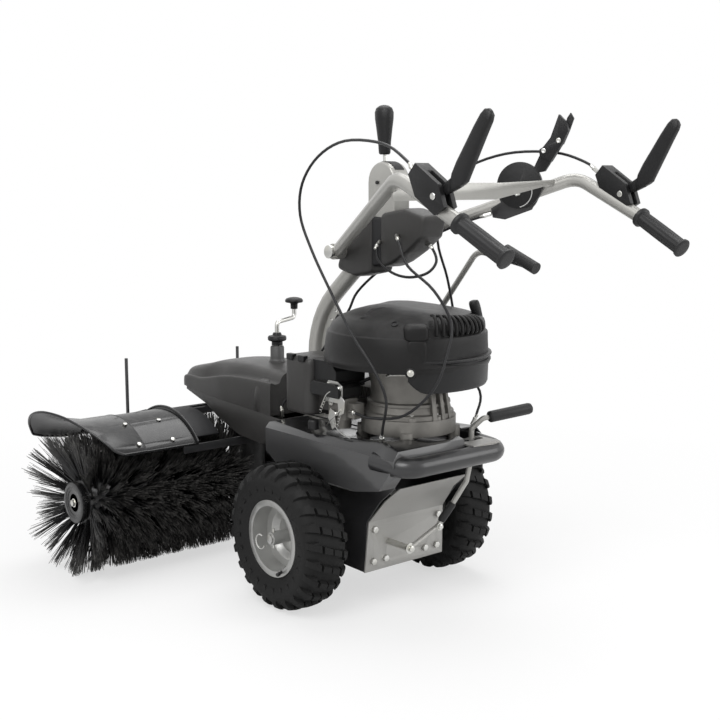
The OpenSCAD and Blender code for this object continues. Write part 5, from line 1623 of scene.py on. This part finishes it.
    def fuel_details(self) -> None:
        """Linkage, springs and intake of the carburettor."""
        zinc, steel, black, heads = Form(), Form(), Form(), Form()
        zinc.slab([(-100, 466), (-100, 506), (-84, 514), (-52, 514), (-44, 500), (-44, 466)], -150, -147)
        zinc.slab([(-96, 440), (-112, 448), (-116, 476), (-104, 486), (-92, 470)], -156, -153.5)
        zinc.slab([(-64, 404), (-76, 414), (-70, 446), (-56, 452), (-48, 430)], -148, -145)
        self.spring(steel, (-152, -62, 500), (-156, -30, 440), 3.2, 9)
        self.spring(steel, (-150, -104, 470), (-148, -80, 414), 2.8, 8)
        for path in ([(-151, -96, 500), (-158, -60, 486), (-156, -34, 452)],
                     [(-156, -104, 456), (-160, -74, 430), (-152, -50, 412)],
                     [(-146, -60, 424), (-152, -96, 404), (-150, -128, 396)]):
            steel.tube(flowing(path, 6), 1.5, 8)
        black.slab([(-96, 478), (-96, 500), (-86, 508), (-6, 508), (2, 500), (2, 478)], -158, -92)
        black.slab([(-74, 496), (-74, 534), (-56, 554), (6, 554), (6, 496)], -146, -62)
        black.tube(flowing([(-112, -60, 470), (-86, -76, 500), (-70, -110, 520)], 8), 4.0, 12)
        black.turn([(0, 13), (18, 13), (22, 10)], (-150, 0, 396), Axis.Z.value, 24)
        for at in ((-150.5, -92, 500), (-150.5, -54, 504), (-141, -90, 462), (-141, -52, 462), (-141, -70, 440)):
            bolt_head(heads, at, Vector((-1, 0, 0)), 8.0, 5.0)
        Bench.piece("governor_plates", zinc, Kit.STEEL, "chassis", bevel=0.7)
        Bench.piece("throttle_linkage", steel, Kit.STEEL, "chassis", angle=60.0)
        Bench.piece("intake_duct", black, Kit.BLACK, "chassis", bevel=3.0)
        Bench.piece("fuel_screws", heads, Kit.ZINC, "chassis")

    def build(self) -> None:
        """Makes the cowl and dresses the rest."""
        self.cowl_details()
        self.case_details()
        self.fuel_details()
        Bench.piece("cowl_shell", self.cowl(), Kit.COWL, "chassis", "engine_cowl", angle=50.0)
        Bench.piece("cowl_ribs", self.ribs(), Kit.COWL, "chassis", bevel=1.2)
        Bench.piece("tank_shell", self.tank(), Kit.BLACK, "chassis", "fuel_tank", angle=40.0)
        Bench.dress("crankcase", Kit.CAST, bevel=1.5)
        Bench.piece("air_cleaner", self.air_cleaner(), Kit.NOSE, "chassis", "air_box", angle=50.0)
        clips = Form()
        for y in (30.0, 72.0):
            clips.slab([(y - 11, 546), (y + 11, 546), (y + 11, 560), (y - 11, 560)], -164, -150)
        Bench.piece("air_cleaner_clips", clips, Kit.BLACK, "chassis", bevel=2.0)
        for node, finish, bevel in (("carburettor", Kit.CAST, 1.0), ("muffler", Kit.DARK, 3.0),
                                    ("crankshaft", Kit.STEEL, 0.0), ("flywheel", Kit.CAST, 1.0)):
            Bench.dress(node, finish, bevel)
        Bench.piece("starter_pull", self.starter(), Kit.BLACK, "starter_grip", "starter_grip", angle=60.0)


@dataclass
class Console:
    """Console shells and the speed lever on the column.

    Args:
        pivot: (y, z) of the lever's pin.
        dome: radius of the dome round it.
    """

    pivot: Pair = (-72.0, 942.0)
    dome: float = 45.5

    def paddle(self) -> Form:
        """The lever's paddle, wide and round at its top.

        Returns:
            The paddle.
        """
        rows = [(1003, 11.0), (1006, 13.4), (1030, 15.0), (1060, 18.6), (1080, 21.4), (1094, 21.8), (1103, 18.4),
                (1108.5, 10.0), (1110, 2.0)]
        sections = []
        for z, wide in rows:
            y = self.pivot[0] + 5 + (z - 1003) * 0.02
            sections.append([(wide * 0.86 * math.cos(a), y + wide * 1.08 * math.sin(a), z) for a in circle(28)])
        return Form().loft(sections)

    def shell(self, outline: Sequence[Pair], half: float, radius: float) -> Form:
        """A rounded shell from an outline in (y, z), half wide to each side.

        Args:
            outline: corners in order.
            half: half of its width.
            radius: rounding of the corners.

        Returns:
            The shell.
        """
        ring = rounded([(0, *p) for p in outline] + [(0, *outline[0]), (0, *outline[1])], radius, 5)[1:-1]
        middle = sum(ring, Vector()) / len(ring)
        sections = []
        for share, scale in ((-1.0, 0.84), (-0.97, 0.91), (-0.90, 0.955), (-0.76, 0.985), (-0.5, 1.0), (0.5, 1.0),
                             (0.76, 0.985), (0.90, 0.955), (0.97, 0.91), (1.0, 0.84)):
            sections.append([middle + (p - middle) * scale + Vector((half * share, 0, 0)) for p in ring])
        return Form().loft(sections)

    def shells(self) -> None:
        """The console's two halves, its seam and its dome."""
        rear = [(-234, 872), (-166, 888), (-88, 876), (-88, 753), (-128, 768), (-175, 794), (-222, 828)]
        ahead = [(-62, 874), (-40, 886), (20, 838), (66, 745), (0, 731), (-62, 743)]
        band = [(-120, 866), (-50, 870), (-30, 752), (-110, 764)]
        for name, outline, radius, node in (("console_rear_shell", rear, 14.0, "console_cover"),
                                            ("console_front_shell", ahead, 12.0, "console_base")):
            Bench.piece(name, self.shell(outline, 34.0, radius), Kit.NOSE, "chassis", node, angle=50.0)
        Bench.piece("console_recess", self.shell(band, 30.0, 6.0), Kit.FLAP, "chassis", angle=50.0)
        y, z = self.pivot[0] - 9, self.pivot[1]
        r = self.dome
        dome = [(y - 45, z - 92), (y + 45, z - 92), (y + r, z)]
        dome += [(y + r * math.cos(a), z + r * math.sin(a)) for a in (math.radians(15 * k) for k in range(1, 12))]
        dome += [(y - r, z)]
        Bench.piece("lever_dome", self.shell(dome, 24.0, 3.0), Kit.SILVER, "chassis", "console_cover", angle=50.0)
        seal = Form().loft([[(x, y + r * math.cos(a), z + r * math.sin(a)) for x, r in
                             ((-14, 44), (-13, 46.4), (13, 46.4), (14, 44))]
                            for a in (math.radians(52 + 9 * k) for k in range(11))])
        Bench.piece("lever_slot_seal", seal, Kit.FLAP, "chassis", angle=40.0)

    def build(self) -> None:
        """Dresses the shells and makes the paddle."""
        self.shells()
        Bench.piece("speed_paddle", self.paddle(), Kit.BLACK, "console_lever", "console_lever", angle=60.0)
        rod = Form().tube([(0, self.pivot[0], self.pivot[1] + 4), (0, -67, 1005)], 4.2, 16)
        Bench.piece("speed_lever_rod", rod, Kit.ZINC, "console_lever", "console_lever")
        hub = Form().turn([(-4, 26), (-3, 29.5), (3, 29.5), (4, 26)], (0, *self.pivot), Axis.X.value, 40)
        hub.turn([(-28, 4), (28, 4)], (0, *self.pivot), Axis.X.value, 16)
        Bench.piece("speed_lever_hub", hub, Kit.BLACK, "console_lever", "console_lever")


@dataclass
class Handlebar:
    """Arms, grips, clutch levers and the height lock.

    Args:
        grip_start: where the right grip starts.
        grip_way: its direction.
        grip_long: its length.
        lever_pin: pin of the right clutch lever.
        lock_base: (x, y) of the height lock on the right arm.
        lock_turn: direction of that arm in degrees.
        lock_inset: distance from the arm's middle to the lock.
        lock_high: height of the lock's pin.
    """

    grip_start: Point = (260.0, -562.0, 873.0)
    grip_way: Point = (-7.0, -109.0, -60.0)
    grip_long: float = 124.0
    lever_pin: Point = (265.0, -517.0, 919.0)
    lock_base: Pair = (204.316, -286.0)
    lock_turn: float = 25.39
    lock_inset: float = 14.2
    lock_high: float = 922.0

    def grip(self) -> Form:
        """One ribbed grip with a collar at each end.

        Returns:
            The right grip.
        """
        way = Vector(self.grip_way).normalized()
        long = self.grip_long
        side, up = cross_ways(way)
        profile = [(-2, 17.5), (-1, 20), (5, 20.5), (7, 19), (8.5, 16.3), (12, 15.8), (long * 0.5, 16.2),
                   (long - 9, 15.8), (long - 7, 16.5), (long - 5.5, 19.0), (long - 1.5, 19.5), (long, 18),
                   (long + 0.4, 12)]
        sections = []
        for s, r in profile:
            rib = 0.55 if 10 < s < long - 8 else 0.0
            sections.append([Vector(self.grip_start) + way * s + (side * math.cos(a) + up * math.sin(a))
                             * (r + rib * math.cos(12 * a)) for a in circle(72)])
        return Form().loft(sections)

    def lever(self) -> Form:
        """One clutch lever: a broad blade that thins to its pin.

        Returns:
            The right lever.
        """
        rows = [(-566, 934, 16.5, 5.0, 0.45), (-566, 936, 19.4, 7.4, 0.45), (-566, 941, 20.6, 8.4, 0.34),
                (-569, 953, 19.8, 8.8, 0.1), (-579, 971, 18.4, 9.2, 0), (-597, 1000, 16.4, 9.4, 0),
                (-616, 1031, 14.6, 9.2, 0), (-630, 1052, 13.0, 8.6, 0), (-636, 1060.5, 10.5, 6.5, 0),
                (-639, 1064, 4.5, 3.0, 0)]
        foot = [(-509, 914, 4.0, 5.6, 0), (-517, 920, 5.0, 5.8, 0), (-528, 927.5, 7.5, 5.8, 0),
                (-540, 934, 11.0, 5.8, 0), (-562, 945, 13.0, 5.8, 0)]
        return self.blade(foot, self.blade(rows, Form()))

    def blade(self, rows: Sequence[tuple[float, ...]], form: Form) -> Form:
        """Adds a flattened bar in the plane of the right lever.

        Args:
            rows: y, z, half the width, half the thickness and slant at each place.
            form: the form that gets it.

        Returns:
            The form.
        """
        sections = []
        for k, (y, z, half, thick, slant) in enumerate(rows):
            ahead, back = rows[min(k + 1, len(rows) - 1)], rows[max(k - 1, 0)]
            along = Vector((0, ahead[0] - back[0], ahead[1] - back[1])).normalized()
            across = along.cross(Axis.X.value)
            ring = []
            for c, d in (soft_square(a, 0.55) for a in circle(24)):
                wide = half * c
                ring.append(Vector((self.lever_pin[0], y, z - slant * wide)) + across * wide
                            + Axis.X.value * thick * d)
            sections.append(ring)
        return form.loft(sections)

    def levers(self) -> None:
        """Both clutch levers and their pins."""
        for side in Side:
            node = f"clutch_lever_{side.name.lower()}"
            body = next(b for b in frame["bodies"] if b.startswith("clutch") and side.name.lower() in b)
            blade, pin = self.lever(), Form()
            pin.turn([(-18.6, 5.5), (-17.5, 6.5), (-16.4, 4), (16.4, 4), (17.5, 6.5), (18.6, 5.5)],
                     self.lever_pin, Axis.X.value, 16)
            for form in (blade, pin):
                for point in form.points:
                    point.x *= side.value
            Bench.piece(f"{node}_blade", blade, Kit.BLACK, body, node, angle=50.0)
            Bench.piece(f"{node}_pin", pin, Kit.ZINC, body, node)

    def on_lock(self, point: Point) -> Vector:
        """A point of the lock's own frame, placed on the right arm.

        Args:
            point: a place in the lock's frame.

        Returns:
            The place in mm from the axle.
        """
        turn = math.radians(self.lock_turn)
        x, y = point[0] - self.lock_inset, point[1]
        return Vector((self.lock_base[0] + x * math.cos(turn) - y * math.sin(turn),
                       self.lock_base[1] + x * math.sin(turn) + y * math.cos(turn), point[2]))

    def lock_marks(self) -> None:
        """Nut and wear arc on the lock's disc."""
        nut, arc = Form(), Form()
        way = self.on_lock((-1, 0, 0)) - self.on_lock((0, 0, 0))
        nut.turn([(0, 9), (1.5, 9), (1.8, 7.5), (6.0, 7.5), (6.4, 6.2), (4.5, 4.0)],
                 self.on_lock((-15.4, 0, self.lock_high)), way, 6)
        for at in ((-58, 1009), (-90, 1030)):
            nut.turn([(0, 5.5), (1.6, 5.2), (2.4, 3.6), (1.4, 1.6)], self.on_lock((-21.4, *at)), way, 20)
        line = [self.on_lock((-16.0, 33 * math.cos(a), self.lock_high + 33 * math.sin(a)))
                for a in (math.radians(150 + 9 * k) for k in range(13))]
        arc.tube(line, 1.1, 8)
        Bench.piece("lock_nut", nut, Kit.ZINC, "lock_lever")
        Bench.piece("lock_arc", arc, Kit.WHITE, "lock_lever")

    def gear(self) -> None:
        """The bent gear lever with its grip, sleeve and pivot."""
        route = [(-51, -212, 150), (34, -212, 184), (46, -216, 199), (88, -246, 285), (96, -252, 340),
                 (96, -252, 404), (112, -270, 428), (236, -300, 440)]
        back = Vector((0, -1, 0))
        rod, soft, zinc = Form().tube(rounded(route, 14, 5), 6.0, 16), Form(), Form()
        soft.tube([(126, -274, 429), (129, -275, 429.5), (132, -275.6, 430), (228, -297.8, 439), (234, -299.2, 439.6),
                   (238, -300, 440)], [9.0, 12.4, 13.0, 13.0, 11.6, 6.0], 20)
        soft.tube([(42, -214, 194), (44, -215, 199), (62, -227.5, 232), (64, -229, 236)], [7.5, 9.0, 9.0, 7.5], 16)
        zinc.turn([(-83, 7), (8, 7), (9, 12), (11, 12), (12, 7), (18, 7), (19, 5)], (-51, -203, 150), back, 20)
        bolt_head(zinc, (34, -218, 184), back, 12.0, 6.0)
        Bench.piece("gear_rod", rod, Kit.SILVER, "gear_lever", "gear_lever", angle=60.0)
        Bench.piece("gear_grip", soft, Kit.SOFT, "gear_lever", "gear_lever", angle=60.0)
        Bench.piece("gear_pivot", zinc, Kit.ZINC, "gear_lever", "gear_lever")

    def build(self) -> None:
        """Makes the grips and dresses levers and lock."""
        self.levers()
        self.lock_marks()
        Bench.piece("ribbed_grips", self.grip().mirrored(), Kit.SOFT, "handlebar", "grips", angle=50.0)
        for node, finish, bevel in (("handle_arms", Kit.SILVER, 0.0), ("handle_plate", Kit.SILVER, 0.6),
                                    ("lever_boxes", Kit.BLACK, 1.6), ("lock_bracket", Kit.TUBE, 1.0),
                                    ("lock_lever", Kit.BLACK, 3.0), ("thumb_latch", Kit.BLACK, 1.6)):
            Bench.dress(node, finish, bevel)
        self.gear()
        Bench.dress("angle_lever", Kit.SILVER, second=(lambda at: at.y < -246, Kit.SOFT))


def main() -> None:
    """Builds the sweeper, piece by piece."""
    logging.basicConfig(level=logging.INFO, format="%(message)s")
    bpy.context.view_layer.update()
    Studio().build()
    Cables().build()
    for part in (Wheels(), Brush(), Guards(), Nose(), Chassis(), Engine(), Console(), Handlebar()):
        part.build()


if __name__ == "__main__":
    main()
